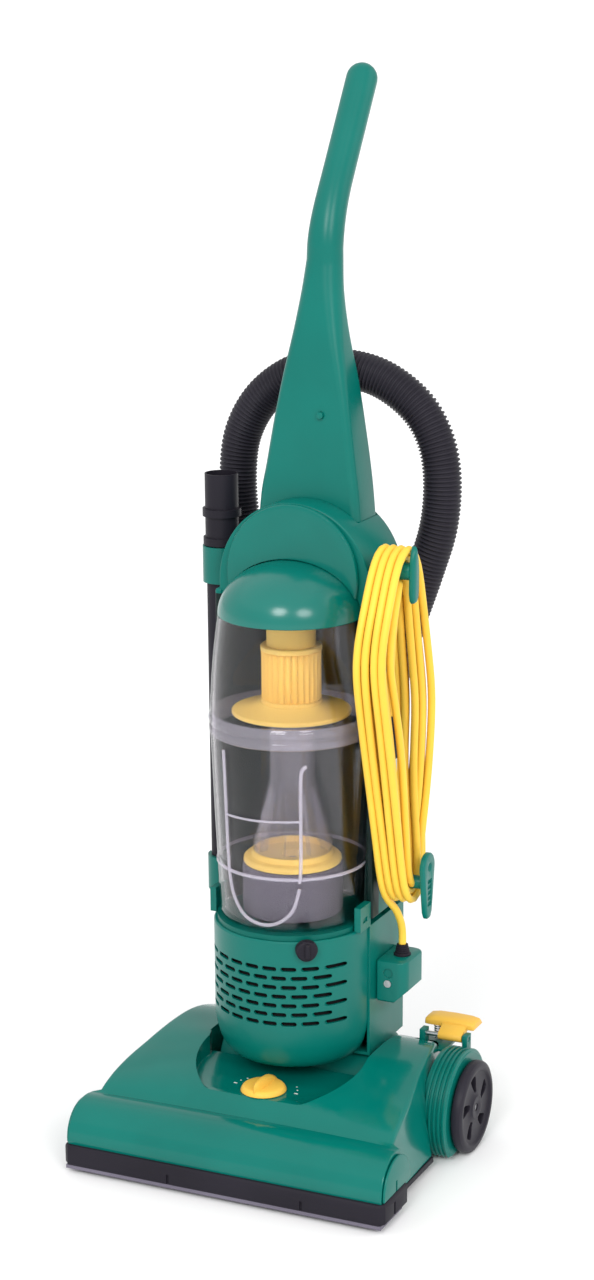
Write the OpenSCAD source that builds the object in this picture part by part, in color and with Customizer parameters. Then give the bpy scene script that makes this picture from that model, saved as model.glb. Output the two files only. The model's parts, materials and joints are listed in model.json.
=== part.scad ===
// Upright vacuum cleaner: foot, reclining body, lift-off dust cup and stored tool.
// Millimetres, +Z up, -Y is the front, +X is the cord side.

/* [Foot] */
// Overall width across the front bumper
foot_w = 356; // [340:2:366]
// Distance from the origin to the bumper's front face
foot_front = 188; // [184:1:190]
// Radius of the rear wheels
wheel_r = 49.5; // [46:0.5:52]
// Thickness of a rear wheel
wheel_t = 13; // [10:1:14]
// Outer face of the rear wheels, from the centre plane
wheel_x = 194; // [192:1:198]
// Radius of the front rollers
roller_r = 10; // [8:1:11]

/* [Brush] */
// Radius of the brush roll core
brush_core_r = 18; // [15:1:19]
// Radius to the bristle tips
bristle_r = 27; // [24:1:27]

/* [Body] */
// Half width of the upright body
body_hw = 88; // [87:1:89]
// Rear face of the body
body_back = 90; // [88:1:92]
// Underside of the dust cup
cup_z = 256; // [254:1:258]
// Outer radius of the perforated motor cover
cover_r = 84; // [82:1:85]
// Rows of slots in the motor cover
slot_rows = 7; // [4:1:7]
// Slots in a long row
slot_count = 8; // [6:1:8]

/* [Dust cup] */
// Outer radius of the clear cup at its band
cup_r = 84.5; // [82:0.5:84.5]
// Height of the band above the floor
band_z = 463; // [458:1:468]
// Height of the rim under the dome
rim_z = 573; // [568:1:576]
// Radius of that rim
rim_r = 74; // [72:1:75]
// Height of the dome above the rim
dome_h = 54; // [48:1:56]

/* [Handle] */
// Overall height of the machine
total_h = 1100; // [1080:5:1120]
// Radius of the hand grip
grip_r = 16; // [15:0.5:16.5]

/* [Hose and cord] */
// Outside diameter of the suction hose
hose_d = 40; // [38:1:41]
// Diameter of the mains cord
cord_d = 8; // [7:0.5:8.5]

/* [Hidden] */
$fn = 72;

green = "#00796b";
dark_green = "#00695c";
black = "#34323c";
yellow = "#f2b950";
cord_yellow = "#f5c846";
clear_grey = [0.75, 0.72, 0.78, 0.4];
steel = "silver";

gap = 0.3;               // clearance between bodies
wall = 3;                // general moulding thickness
cup_y = -5;              // axis of the dust cup
cover_y = -2;            // axis of the motor cover's round front
pivot = [40, 62];        // recline axis and motor shaft (y, z)
axle = [37, wheel_r];    // rear wheel axis (y, z)
brush = [-146, 33];      // brush roll axis (y, z)
roller = [-84, roller_r]; // front roller axis (y, z)
barrel_r = 52;           // motor barrel about the recline axis
bush_r = 24;             // trunnion radius
inner_x = body_hw + 4;   // inner side of the foot's rear arms
belt_x = -108.5;         // middle of the belt
dial_at = [6, -93, 87]; // centre of the dial's seat on the deck
arch_z = 600;            // centre height of the body's round top
arch_r = 84;
wand = [-106, 55];       // axis of the stored tool (x, y)
wand_r = 16.5;
hose_y = 113;
hook_up = [0, 626];      // upper cord hook stem (y, z)
hook_low = [23, 296];    // lower cord hook stem (y, z)
clamp_at = [105, 40];    // cord outlet (x, y)
clamp_top = 207;
clamp_low = 162;
clamp_screw_z = 183;

// ---------- shared shapes ----------

// Cylinder along X from x0 to x1 about the axis at (y, z)
module x_cyl(r, x0, x1, at) {
    translate([x0, at[0], at[1]]) rotate([0, 90, 0]) cylinder(r = r, h = x1 - x0);
}

// Ring along X
module x_ring(r_out, r_in, x0, x1, at) {
    difference() {
        x_cyl(r_out, x0, x1, at);
        x_cyl(r_in, x0 - 1, x1 + 1, at);
    }
}

// Box given by its low and high corners
module box(lo, hi) {
    translate(lo) cube(hi - lo);
}

// Upright tube
module z_tube(r_out, r_in, z0, z1, at) {
    translate([at[0], at[1], z0]) difference() {
        cylinder(r = r_out, h = z1 - z0);
        translate([0, 0, -1]) cylinder(r = r_in, h = z1 - z0 + 2);
    }
}

// Rectangle with round corners, centred
module round_rect(w, h, r) {
    square([w - 2 * r, h], center = true);
    square([w, h - 2 * r], center = true);
    for (sx = [-1, 1], sy = [-1, 1])
        translate([sx * (w / 2 - r), sy * (h / 2 - r)]) circle(r = r);
}

// Both mirror images of the children
module both_sides() {
    children();
    mirror([1, 0, 0]) children();
}

// A skin through rings of points, all with the same number of points
module loft(rings) {
    n = len(rings[0]);
    m = len(rings);
    points = [for (ring = rings, p = ring) p];
    sides = [for (i = [0:m - 2], j = [0:n - 1])
        [i * n + j, i * n + (j + 1) % n, (i + 1) * n + (j + 1) % n, (i + 1) * n + j]];
    triangles = [for (q = sides, t = [[q[0], q[1], q[2]], [q[0], q[2], q[3]]]) t];
    first = [for (j = [n - 1:-1:0]) j];
    last = [for (j = [0:n - 1]) (m - 1) * n + j];
    polyhedron(points, concat([first], triangles, [last]), convexity = 8);
}

// Points of a rounded oblong: power 2 is an ellipse, higher is squarer
function oblong(a, b, power, n) = [for (i = [0:n - 1])
    let (t = -360 * i / n, c = cos(t), s = sin(t))
    [a * sign(c) * pow(abs(c), 2 / power), b * sign(s) * pow(abs(s), 2 / power)]];

function unit(v) = v / norm(v);

// Tube swept along a path in 3-D, with n sides
function sweep_ring(path, i, r, n) =
    let (last = len(path) - 1,
         t = unit(path[min(i + 1, last)] - path[max(i - 1, 0)]),
         side = unit(cross(t, [0.02, 1, 0.05])),
         up = cross(side, t))
    [for (k = [0:n - 1]) path[i] + r * (cos(360 * k / n) * side + sin(360 * k / n) * up)];
module sweep(path, r, n) {
    loft([for (i = [0:len(path) - 1]) sweep_ring(path, i, r, n)]);
}

// Catmull-Rom curve through hand-picked points
function curve_point(p, i, t) =
    let (a = p[max(i - 1, 0)], b = p[i], c = p[i + 1], d = p[min(i + 2, len(p) - 1)])
    0.5 * (2 * b + (c - a) * t + (2 * a - 5 * b + 4 * c - d) * t * t
        + (3 * b - a - 3 * c + d) * t * t * t);
function curve(p, steps) = concat(
    [for (i = [0:len(p) - 2], k = [0:steps - 1]) curve_point(p, i, k / steps)], [p[len(p) - 1]]);

// ---------- foot ----------

// Hood stations: y, half width low, half width of the ridge, ridge height, crown
hood_stations = [
    [-182.8, 177, 177, 34, 1], [-180, 177, 176, 50, 1], [-172, 177, 175, 63, 1],
    [-156, 177, 173, 71, 2], [-136, 176, 171, 76, 4], [-100, 174, 165, 86, 10],
    [-50, 170, 158, 98, 12], [0, 167, 150, 108, 6], [30, 158, 144, 110, 2],
    [58, 154, 138, 106, 1], [82, 150, 132, 95, 1], [94, 146, 128, 70, 1]];
hood_low = 14;
function hood_ring(s, inset) =
    let (w0 = s[1] - inset, w1 = s[2] - inset, h = s[3] - inset, c = s[4], z0 = hood_low - (inset > 0 ? 1 : 0))
    [for (p = [[-w0, z0], [w0, z0], [w0, z0 + 0.55 * (h - z0)], [w1, h - 4], [w1 - 4, h],
               [w1 * 0.7, h + c * 0.6], [w1 * 0.35, h + c * 0.9], [0, h + c],
               [-w1 * 0.35, h + c * 0.9], [-w1 * 0.7, h + c * 0.6], [4 - w1, h], [-w1, h - 4],
               [-w0, z0 + 0.55 * (h - z0)]]) [p[0], s[0], p[1]]];
module hood_solid(inset) {
    loft([for (s = hood_stations) hood_ring(s, inset)]);
}

module sole_plate() color(black) difference() {
    union() {
        box([-168, -168, 8], [168, -24, hood_low - 0.2]);
        both_sides() box([inner_x, -24, 8], [150, 88, hood_low - 0.2]);
    }
    box([-152, -170, 0], [152, -116, 20]);
    box([-56, roller[0] - 16, 0], [56, roller[0] + 16, 20]);
    for (x = [-140, -60, 60, 140]) translate([x, -40, 0]) cylinder(r = 2.3, h = 30);
    // opening for the left rear wheel
    box([left_wheel_x - 3, -4, 0], [left_wheel_x + wheel_t + 3, 95, 20]);
}

deck_z = 88;
dish = [3, -40, 91]; // centre and radius of the round dish in front of the body
// The dish and the room round the motor cover, from a height up
module deck_area(z0, h) {
    translate([0, cover_y, z0]) cylinder(r = inner_x, h = h);
    translate([dish[0], dish[1], z0]) cylinder(r = dish[2], h = h);
}
guard_r = 58;
well_r = 53;
left_wheel_x = -134;
well_back = left_wheel_x + wheel_t + 6; // inner face of the left well
pedal_hinge = [66, 112];
module foot_hood() color(green) difference() {
    union() {
        difference() {
            hood_solid(0);
            intersection() {
                hood_solid(wall);
                box([-200, -179.8, 0], [200, 91, 200]);
            }
            // room for the body between the rear arms, and above the deck in front of it
            box([-inner_x, -20, 0], [inner_x, 120, 200]);
            deck_area(deck_z, 80);
        }
        // deck under the motor cover
        intersection() {
            deck_area(deck_z - wall, wall);
            hood_solid(1);
            box([-200, -140, 0], [200, -20, 200]);
        }
        // inner walls of the rear arms
        both_sides() box([inner_x, -20, hood_low], [inner_x + wall, 88, 92]);
        // shelf and lug for the pedal
        box([114, 57, 96.5], [147, 88, 99.8]);
        box([117, 60, 99], [123, 72, 117]);
    }
    x_cyl(bush_r + 3, -inner_x - 6, inner_x + 6, pivot);
    x_cyl(2.55, 110, 130, pedal_hinge);
    translate(dial_at - [0, 0, 30]) cylinder(r = 6.5, h = 60);
    difference() {
        box([112, 58, 99.8], [184, 120, 160]);
        box([117, 60, 99], [123, 72, 117]);
    }
    // room for the wheel guard
    x_cyl(guard_r + 3.2, 151.7, 200, axle);
    box([151.7, axle[0] - guard_r - 3.2, 0], [200, 120, axle[1]]);
}

module front_bumper() color(black) difference() {
    box([-foot_w / 2 - 3, -foot_front, 9], [foot_w / 2 + 3, -126, 31]);
    box([-foot_w / 2 + 0.8, -foot_front + 5, 0], [foot_w / 2 - 0.8, -120, 40]);
    for (x = [-60, 90]) box([x, -foot_front - 1, 8], [x + 3, -foot_front + 1.2, 20]);
    both_sides() translate([foot_w / 2 + 3, -foot_front, 0])
        rotate(45) cube([6, 6, 80], center = true);
}

module nozzle_lip() color("#6f6a78") difference() {
    box([-foot_w / 2, -foot_front + 1, 5], [foot_w / 2, -132, 8.8]);
    box([-169, -foot_front + 5, 0], [169, -120, 12]);
}

module brush_end_caps() color(green) both_sides() intersection() {
    x_cyl(36, foot_w / 2 - 0.8, foot_w / 2 + 1.6, [brush[0] - 2, brush[1] + 2]);
    box([0, -foot_front + 6, 31.4], [200, -112, 80]);
}

module belt_guard() color(dark_green) difference() {
    box([belt_x - 13, -108, 14.2], [belt_x + 13, -30, 72]);
    box([belt_x - 10.5, -120, 10], [belt_x + 10.5, -20, 69.5]);
}

module foot_screws() color(steel) for (x = [-140, -60, 60, 140])
    translate([x, -40, 5.5]) {
        cylinder(r = 4, h = 2.4);
        cylinder(r = 2.2, h = 22);
    }

module pivot_bushes() color("#8a8892")
    both_sides() x_ring(bush_r + 2.8, bush_r + 0.05, inner_x + 0.5, inner_x + 5.6, pivot);

module wheel_guard_right() color(green) {
    difference() {
        union() {
            x_cyl(guard_r, 152, wheel_x - wheel_t - 1.2, axle);
            for (i = [0:4]) x_ring(guard_r + 2.5, guard_r - 1, 156 + i * 5, 158.4 + i * 5, axle);
        }
        box([140, -40, -30], [200, 120, 6.5]);
        x_cyl(8, 140, 200, axle);
        x_cyl(50, 155, 176, axle);
    }
    // outer lug of the pedal pin
    difference() {
        box([165.5, 60, 98], [171, 72, 117]);
        x_cyl(2.55, 160, 180, pedal_hinge);
        x_cyl(guard_r - 0.5, 160, 180, axle);
    }
}
// The left rear wheel stands in a well inside the hood
module wheel_well_left() color(green) difference() {
    union() {
        difference() {
            x_cyl(well_r, left_wheel_x + 3, well_back, axle);
            x_cyl(well_r - 1.8, left_wheel_x - 1, well_back - 2.5, axle);
        }
        // boss round the axle, on the wheel's side of the wall
        x_cyl(12, well_back - 4.7, well_back - 2.4, axle);
    }
    box([-200, -40, -30], [0, 120, 14.5]);
    x_cyl(8, -200, 0, axle);
}

module rear_axles() color(steel) {
    x_cyl(7.9, 152, wheel_x - wheel_t - 1, axle);
    x_cyl(4, wheel_x - wheel_t - 1.01, wheel_x - 3.5, axle);
    x_cyl(7.9, left_wheel_x + wheel_t + 1, well_back, axle);
    x_cyl(4, left_wheel_x + 3.5, left_wheel_x + wheel_t + 1.01, axle);
}

module rear_wheel() difference() {
    x_cyl(wheel_r, wheel_x - wheel_t, wheel_x - 1, axle);
    x_ring(38, 12, wheel_x - 4, wheel_x + 1, axle);
    x_cyl(4.05, 100, 200, axle);
    for (a = [0:72:359]) translate([0, axle[0], axle[1]]) rotate([a, 0, 0])
        box([wheel_x - wheel_t - 1, -4, 16], [wheel_x + 1, 4, 35]);
}
module rear_wheel_right() color(black) rear_wheel();
module rear_wheel_left() color(black)
    translate([left_wheel_x + wheel_x, 0, 0]) mirror([1, 0, 0]) rear_wheel();

module wheel_carriage() color(dark_green) {
    difference() {
        union() {
            both_sides() box([48, roller[0] - 8, 7], [53, roller[0] + 8, 26]);
            box([-4, roller[0] - 8, 7], [4, roller[0] + 8, 26]);
            box([-53, roller[0] - 8, 22], [53, roller[0] + 8, 26]);
        }
        x_cyl(3.05, -60, 60, roller);
    }
    translate([dial_at[0], roller[0] - 4, 25.9]) cylinder(r = 3, h = 39.5);
}

module front_rollers() color(black) {
    both_sides() x_cyl(roller_r, 6, 46, roller);
    x_cyl(3, -52.5, 52.5, roller);
}

module height_dial() color(yellow) translate(dial_at) {
    translate([0, 0, 1.5]) cylinder(r1 = 24, r2 = 21, h = 6);
    translate([0, 0, 7.4]) intersection() {
        cylinder(r = 21, h = 12);
        translate([-4.5, -21, 0]) cube([9, 42, 9]);
    }
    translate([0, 0, -18]) cylinder(r = 6.2, h = 19.6);
}

module release_pedal() color(yellow) difference() {
    union() {
        hull() {
            box([116, 76, 117], [172, 104, 122]);
            box([122, 80, 122], [166, 100, 127]);
        }
        hull() {
            box([137, 76, 116], [164, 84, 122]);
            x_cyl(5, 137, 164, pedal_hinge);
        }
    }
    x_cyl(2.55, 100, 200, pedal_hinge);
}
module pedal_pin() color(steel) x_cyl(2.5, 118, 170, pedal_hinge);
module pedal_spring() color(steel) translate([130, 82, 100]) difference() {
    cylinder(r = 5, h = 16.9);
    translate([0, 0, -1]) cylinder(r = 3.4, h = 30);
}

module brush_roll() color("#2b2a30") {
    difference() {
        x_cyl(brush_core_r, -148, 148, brush);
        x_cyl(4.05, -200, 200, brush);
        x_ring(brush_core_r + 1, brush_core_r - 3, belt_x - 6, belt_x + 6, brush);
    }
}
module brush_bristles() color("#dddddd") for (a = [0:60:359], i = [0:11])
    translate([-140 + i * 25, brush[0], brush[1]]) rotate([a + i * 12, 0, 0])
        if (abs(-140 + i * 25 - belt_x) > 14)
            translate([0, 0, brush_core_r - 0.6])
                cylinder(r = 3, h = bristle_r - brush_core_r + 0.6);
module brush_bearings() color(steel) both_sides() {
    x_cyl(4, 120, 153, brush);
    difference() {
        x_cyl(12, 153, 165, brush);
        x_cyl(2, 160, 170, brush);
    }
}

module belt_loop(extra) hull() {
    x_cyl(brush_core_r - 3 + extra, belt_x - 4, belt_x + 4, brush);
    x_cyl(7 + extra, belt_x - 4, belt_x + 4, pivot);
}
module drive_belt() color("#1e1e22") difference() {
    belt_loop(2.8);
    hull() {
        x_cyl(brush_core_r - 3 + gap, belt_x - 6, belt_x + 6, brush);
        x_cyl(7 + gap, belt_x - 6, belt_x + 6, pivot);
    }
}

// ---------- motor end of the body ----------

module motor_housing() color(green) difference() {
    union() {
        x_cyl(barrel_r, -body_hw + 2, body_hw - 2, pivot);
        box([-body_hw + 2, cover_y, 105], [body_hw - 2, body_back - 2, 249.8]);
        x_cyl(bush_r, -inner_x - 6, inner_x + 6, pivot);
        // shoulders beside the cup
        both_sides() box([body_hw - 9, -26, 249.8], [body_hw - 2, -0.1, 276]);
    }
    x_cyl(barrel_r - wall, -body_hw + 5, body_hw - 5, pivot);
    box([-body_hw + 5, cover_y - 1, 108], [body_hw - 5, body_back - 5, 247]);
    x_cyl(bush_r - 8, -120, 120, pivot);
    box([body_hw - 3.5, -20, 258], [body_hw, -9, 263]);
    box([clamp_at[0] - 30, clamp_at[1] - 6, 180], [clamp_at[0], clamp_at[1] + 6, 192]);
}

module slot_row(z, count) {
    for (i = [0:count - 1]) translate([(i - (count - 1) / 2) * 19.5, -60, z])
        rotate([90, 0, 0]) linear_extrude(60) round_rect(14.5, 4, 1.9);
}
module motor_cover() color(green) difference() {
    intersection() {
        translate([0, cover_y, 105]) cylinder(r = cover_r, h = 144.8);
        box([-100, cover_y - 120, 100], [100, cover_y - gap, 300]);
    }
    translate([0, cover_y, 108]) cylinder(r = cover_r - wall, h = 138);
    for (r = [0:slot_rows - 1]) slot_row(220 - r * 10, slot_count - r % 2);
}

module exhaust_filter() color("#e8e6df") difference() {
    intersection() {
        translate([0, cover_y, 150]) cylinder(r = cover_r - wall - 4, h = 80);
        box([-100, cover_y - 120, 100], [100, cover_y - 10, 300]);
    }
    translate([0, cover_y, 149]) cylinder(r = cover_r - wall - 14, h = 90);
}

module motor_stator() color("#8b8f96") x_ring(40, 28, -58, 40, pivot);
module motor_shaft() color(steel) {
    x_cyl(4, belt_x - 5.5, 62, pivot);
    x_cyl(27, -40, 24, pivot);
    x_cyl(7, belt_x - 5, belt_x + 5, pivot);
}
module fan() color("#55535c") difference() {
    union() {
        x_cyl(38, 52, 54, pivot);
        x_cyl(8, 46, 62, pivot);
        for (a = [0:30:359]) translate([0, pivot[0], pivot[1]]) rotate([a, 0, 0])
            box([54, -1, 9], [61, 1, 38]);
    }
    x_cyl(4, 40, 70, pivot);
}

module cup_platform() color(dark_green) difference() {
    translate([0, cup_y, 250]) intersection() {
        cylinder(r = 78.7, h = 5.6);
        translate([-80, -78, 0]) cube([160, 200, 10]);
    }
    translate([0, cup_y, 240]) cylinder(r = 30, h = 30);
}

// ---------- upper body ----------

// Outline of the dust cup, as radius and height, grown by c
function cup_outline(c) = [
    [0, cup_z - 1], [70 + c, cup_z - 1], [76 + c, cup_z + 6], [cup_r - 1.5 + c, band_z - 12],
    [cup_r + c, band_z - 10], [cup_r + c, band_z + 10], [cup_r - 1 + c, band_z + 16],
    [rim_r + c, rim_z], [0, rim_z]];
module dome_profile(r, h) intersection() {
    polygon(concat([[0, 0]], [for (a = [0:6:90]) [r * cos(a), h * sin(a)]]));
    square([r + 1, h + 1]);
}

module cup_pocket(c) translate([0, cup_y, 0]) {
    rotate_extrude() polygon(cup_outline(c));
    translate([0, 0, rim_z - 0.01]) rotate_extrude() dome_profile(rim_r + c, dome_h + c);
}

module body_outline(r, z0) {
    translate([-r, z0]) square([2 * r, arch_z - z0]);
    translate([0, arch_z]) circle(r = r);
}
module body_spine() color(green) difference() {
    union() {
        translate([0, body_back, 0]) rotate([90, 0, 0])
            linear_extrude(body_back - 2) body_outline(arch_r, cup_z);
        both_sides() box([arch_r - 4, 0, cup_z], [body_hw, body_back - 8, 590]);
    }
    cup_pocket(1);
    // the shell is hollow behind the cup and open at the bottom
    difference() {
        translate([0, body_back - wall, 0]) rotate([90, 0, 0]) linear_extrude(body_back - 2 - 2 * wall)
            body_outline(arch_r - wall, cup_z - 1);
        cup_pocket(1 + wall);
        box([-60, 30, 637], [60, 90, 700]);
    }
    // socket for the handle's foot
    box([-56.5, 33.5, 640], [56.5, 87.5, 700]);
}

module badge_plate() color(green) difference() {
    translate([0, 1.7, 611]) rotate([90, 0, 0]) cylinder(r = 72, h = 6);
    cup_pocket(1);
}

// Handle stations: height, half width, front y, rear y
handle_stations = [
    [640.2, 56, 34, 87], [684, 52, 35, 87], [715, 46.5, 38, 90], [750, 41, 41, 90.5], [780, 36, 44, 91],
    [806, 31.5, 47, 91], [830, 27, 50, 90], [855, 23, 54, 90], [885, 19.5, 59, 92], [915, 17.5, 65, 97]];
grip_start = [82, 948];
grip_end = [foot_front - grip_r, total_h - grip_r];
grip_lean = atan2(grip_end[0] - grip_start[0], grip_end[1] - grip_start[1]);
function handle_ring(s, inset) = let (mid = (s[2] + s[3]) / 2, half = (s[3] - s[2]) / 2)
    [for (p = oblong(s[1] - inset, half - inset, 3.2, 28)) [p[0], mid + p[1], s[0]]];
function grip_ring(k, r, lean) = let (c = grip_start + (grip_end - grip_start) * k)
    [for (p = oblong(r, r, 2, 28)) [p[0], c[0] + p[1] * cos(lean), c[1] - p[1] * sin(lean)]];
grip_length = norm(grip_end - grip_start);
function handle_rings(inset) = concat(
    [for (s = handle_stations) handle_ring(s, inset)],
    [for (k = [0, 0.06, 0.14]) grip_ring(k, grip_r - inset, grip_lean * (0.55 + 3.2 * k))],
    [for (k = [0.5, 1]) grip_ring(k, grip_r - inset, grip_lean)]);
grip_dome = [for (a = [20, 40, 60, 78])
    grip_ring(1 + grip_r * sin(a) / grip_length, grip_r * cos(a), grip_lean)];
module handle() color(green) difference() {
    loft(concat(handle_rings(0), grip_dome));
    translate([0, 0, -0.5]) loft(handle_rings(wall));
    box([-9.2, 82, 700], [9.2, 100, 728]);
    translate([12, 60, 766]) rotate([90, 0, 0]) cylinder(r = 2.4, h = 40);
}

switch_at = [90, 714];
module power_switch() color(black) intersection() {
    box([-8.6, switch_at[0] - 6, switch_at[1] - 13], [8.6, switch_at[0] + 6, switch_at[1] + 13]);
    x_cyl(13.4, -9, 9, [switch_at[0] - 8, switch_at[1]]);
}

module air_duct() color(dark_green) difference() {
    box([24, body_back + 0.1, 118], [74, 110, 387.8]);
    box([27, body_back + 3, 121], [71, 107, 384]);
}

hose_points = [
    [50, 113, 436], [58, 113, 480], [76, 113, 540], [97, 113, 600], [112, 113, 650], [115, 113, 700],
    [106, 113, 740], [84, 113, 772], [45, 113, 796], [0, 113, 803], [-45, 113, 796], [-84, 113, 770],
    [-108, 113, 732], [-115, 113, 688], [-112, 113, 640], [-100, 113, 580], [-90, 113, 536]];
hose_path = curve(hose_points, 2);
hose_wall = 3.5;
hose_bore = concat([hose_points[0] - [0, 0, 5]], hose_path, [hose_points[16] - [0, 0, 5]]);
module hose() color(black) difference() {
    sweep(hose_path, hose_d / 2, 12);
    sweep(hose_bore, hose_d / 2 - hose_wall, 12);
}
port_r = 22.7;
module hose_ports() color(black) {
    for (p = [[47, 412], [-88, 512]]) translate([p[0], hose_y, p[1]]) {
        cylinder(r = port_r, h = 18);
        translate([-port_r, body_back + 0.1 - hose_y, -24]) cube([2 * port_r, 40, 24.1]);
    }
}
module hose_hook() color(green) {
    box([-12, 89, 774], [12, 134, 781.5]);
    box([-12, 134, 774], [12, 138, 796]);
}

module tool_clip(z0) {
    difference() {
        union() {
            z_tube(wand_r + 4, wand_r + gap, z0, z0 + 38, wand);
            box([wand[0] - 2, wand[1] + wand_r + gap, z0], [-body_hw - 0.05, wand[1] + wand_r + 4, z0 + 38]);
        }
        box([-body_hw - 0.05, 0, z0 - 1], [0, 100, z0 + 40]);
        // open towards the outside
        translate([wand[0], wand[1], z0 - 1]) rotate(150) translate([0, -9, 0]) cube([60, 18, 60]);
    }
}
module tool_clips() color(green) {
    tool_clip(585);
    tool_clip(248);
}

tool_top = 698;
module tool_cuff() color(black) difference() {
    union() {
        translate([wand[0], wand[1], 624]) cylinder(r = wand_r + 3, h = 8);
        translate([wand[0], wand[1], 632]) cylinder(r = wand_r + 0.8, h = tool_top - 632);
        translate([wand[0], wand[1], 654]) cylinder(r = wand_r + 3.5, h = 8);
    }
    translate([wand[0], wand[1], tool_top - 45]) cylinder(r = 15.9, h = 60);
    translate([wand[0], wand[1], 600]) cylinder(r = 12, h = 60);
}
module tool_wand() color(black) z_tube(wand_r, 14.5, 245, 623.9, wand);

// ---------- cord hooks, clamp and cord ----------

module cord_hook_upper() color(dark_green) {
    x_cyl(9, body_hw + 0.05, 129, hook_up);
    intersection() {
        box([128.9, hook_up[0] - 8, hook_up[1] - 32], [134.5, hook_up[0] + 8, 652]);
        x_cyl(60, 128, 136, [hook_up[0], 592]);
    }
}
module cord_hook_lower() color(dark_green) {
    x_cyl(7, body_hw + 0.4, 136, hook_low);
    difference() {
        hull() {
            x_cyl(13, 136, 142, [hook_low[0], hook_low[1] + 20]);
            x_cyl(8, 136, 142, [hook_low[0], hook_low[1] - 30]);
        }
        x_cyl(4, 139, 143, [hook_low[0], hook_low[1] + 20]);
    }
}

module cord_clamp() color(green) difference() {
    box([body_hw - 1.95, clamp_at[1] - 27, clamp_low], [120, clamp_at[1] + 26, clamp_top]);
    box([body_hw + 2, clamp_at[1] - 23, clamp_low + 3], [117, clamp_at[1] + 22, clamp_top - 3]);
    translate([clamp_at[0], clamp_at[1], clamp_top - 22]) cylinder(r = 7.05, h = 40);
    translate([122, clamp_at[1], clamp_low - 2]) rotate([0, 45, 0]) cube([18, 80, 18], center = true);
    translate([100, clamp_at[1] - 30, clamp_screw_z]) rotate([-90, 0, 0]) cylinder(r = 2.4, h = 10);
}

module body_screws() color(steel) {
    translate([100, clamp_at[1] - 28.6, clamp_screw_z]) rotate([-90, 0, 0]) {
        cylinder(r = 4, h = 1.5);
        cylinder(r = 2.3, h = 12);
    }
    translate([12, 58, 766]) rotate([90, 0, 0]) cylinder(r = 2.3, h = 13.4);
}
module cord_grommet() color(black) translate([clamp_at[0], clamp_at[1], clamp_top - 12]) {
    cylinder(r = 7, h = 13);
    translate([0, 0, 12.1]) cylinder(r1 = 9, r2 = 5.6, h = 12);
}

lead_points = [
    [105, 40, 219.1], [105, 40, 229], [105, 37.5, 241], [104, 31, 254], [103, 22, 266]];
tail_points = [
    [108, 14, 606], [108, 11, 590], [108, 4, 565], [108, -2, 530], [108, -4, 500], [108, -4, 478]];
hank_lobes = [[0, 626, 32], [-27, 545, 45], [20, 480, 50], [23, 296, 30]]; // y, z, radius
hank_x = [95, 128.4];
bundle = 22.4;
module hank_outline(cut) hull() for (l = hank_lobes)
    translate([l[0], l[1]]) circle(r = l[2] - cut, $fn = 32);
module cord_hank() color(cord_yellow) translate([hank_x[0], 0, 0]) rotate([90, 0, 90])
    linear_extrude(hank_x[1] - hank_x[0]) difference() {
        hank_outline(0);
        hank_outline(bundle);
    }
module cord_runs() color(cord_yellow) {
    sweep(curve(lead_points, 2), cord_d / 2, 8);
    sweep(curve(tail_points, 2), cord_d / 2, 8);
}
module plug() color(black) {
    translate([108, -4, 454]) cube([20, 26, 36], center = true);
    translate([108, -4, 471.9]) cylinder(r1 = 8, r2 = 5.4, h = 6);
    for (y = [-10, 2]) box([105, y - 1, 417], [111, y + 1, 436.1]);
}

// ---------- dust cup ----------

latch_turn = 33;
latch_z = 243;
module cup_latch() color(black) translate([0, cover_y, 0]) rotate([0, 0, latch_turn])
    translate([0, -cover_r - 0.4, latch_z]) rotate([90, 0, 0]) {
        cylinder(r = 11.5, h = 6);
        translate([0, 0, 5.9]) intersection() {
            cylinder(r = 10, h = 5);
            translate([-3, -10, 0]) cube([6, 20, 5]);
        }
    }

module cup_at() translate([0, cup_y, 0]) children();

module cup_lower() color(clear_grey) cup_at() rotate_extrude() polygon([
    [0, cup_z], [70, cup_z], [76, cup_z + 6], [cup_r - 1.5, band_z - 11],
    [cup_r - 4, band_z - 11], [73.5, cup_z + 7], [69, cup_z + 3], [0, cup_z + 3]]);
module cup_band() color(clear_grey) cup_at() rotate_extrude() polygon([
    [cup_r - 4, band_z - 10.9], [cup_r, band_z - 10.9], [cup_r, band_z - 3], [cup_r - 1.4, band_z - 1],
    [cup_r - 1.4, band_z + 2], [cup_r, band_z + 4], [cup_r, band_z + 10.9], [cup_r - 4, band_z + 10.9]]);
module cup_upper() color(clear_grey) cup_at() rotate_extrude() polygon([
    [cup_r - 4, band_z + 11], [cup_r - 1, band_z + 11], [rim_r, rim_z - 0.1], [rim_r - 2.6, rim_z - 0.1]]);
module dome_lid() color(green) cup_at() translate([0, 0, rim_z]) rotate_extrude() difference() {
    dome_profile(rim_r, dome_h);
    dome_profile(rim_r - wall, dome_h - wall);
}

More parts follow.
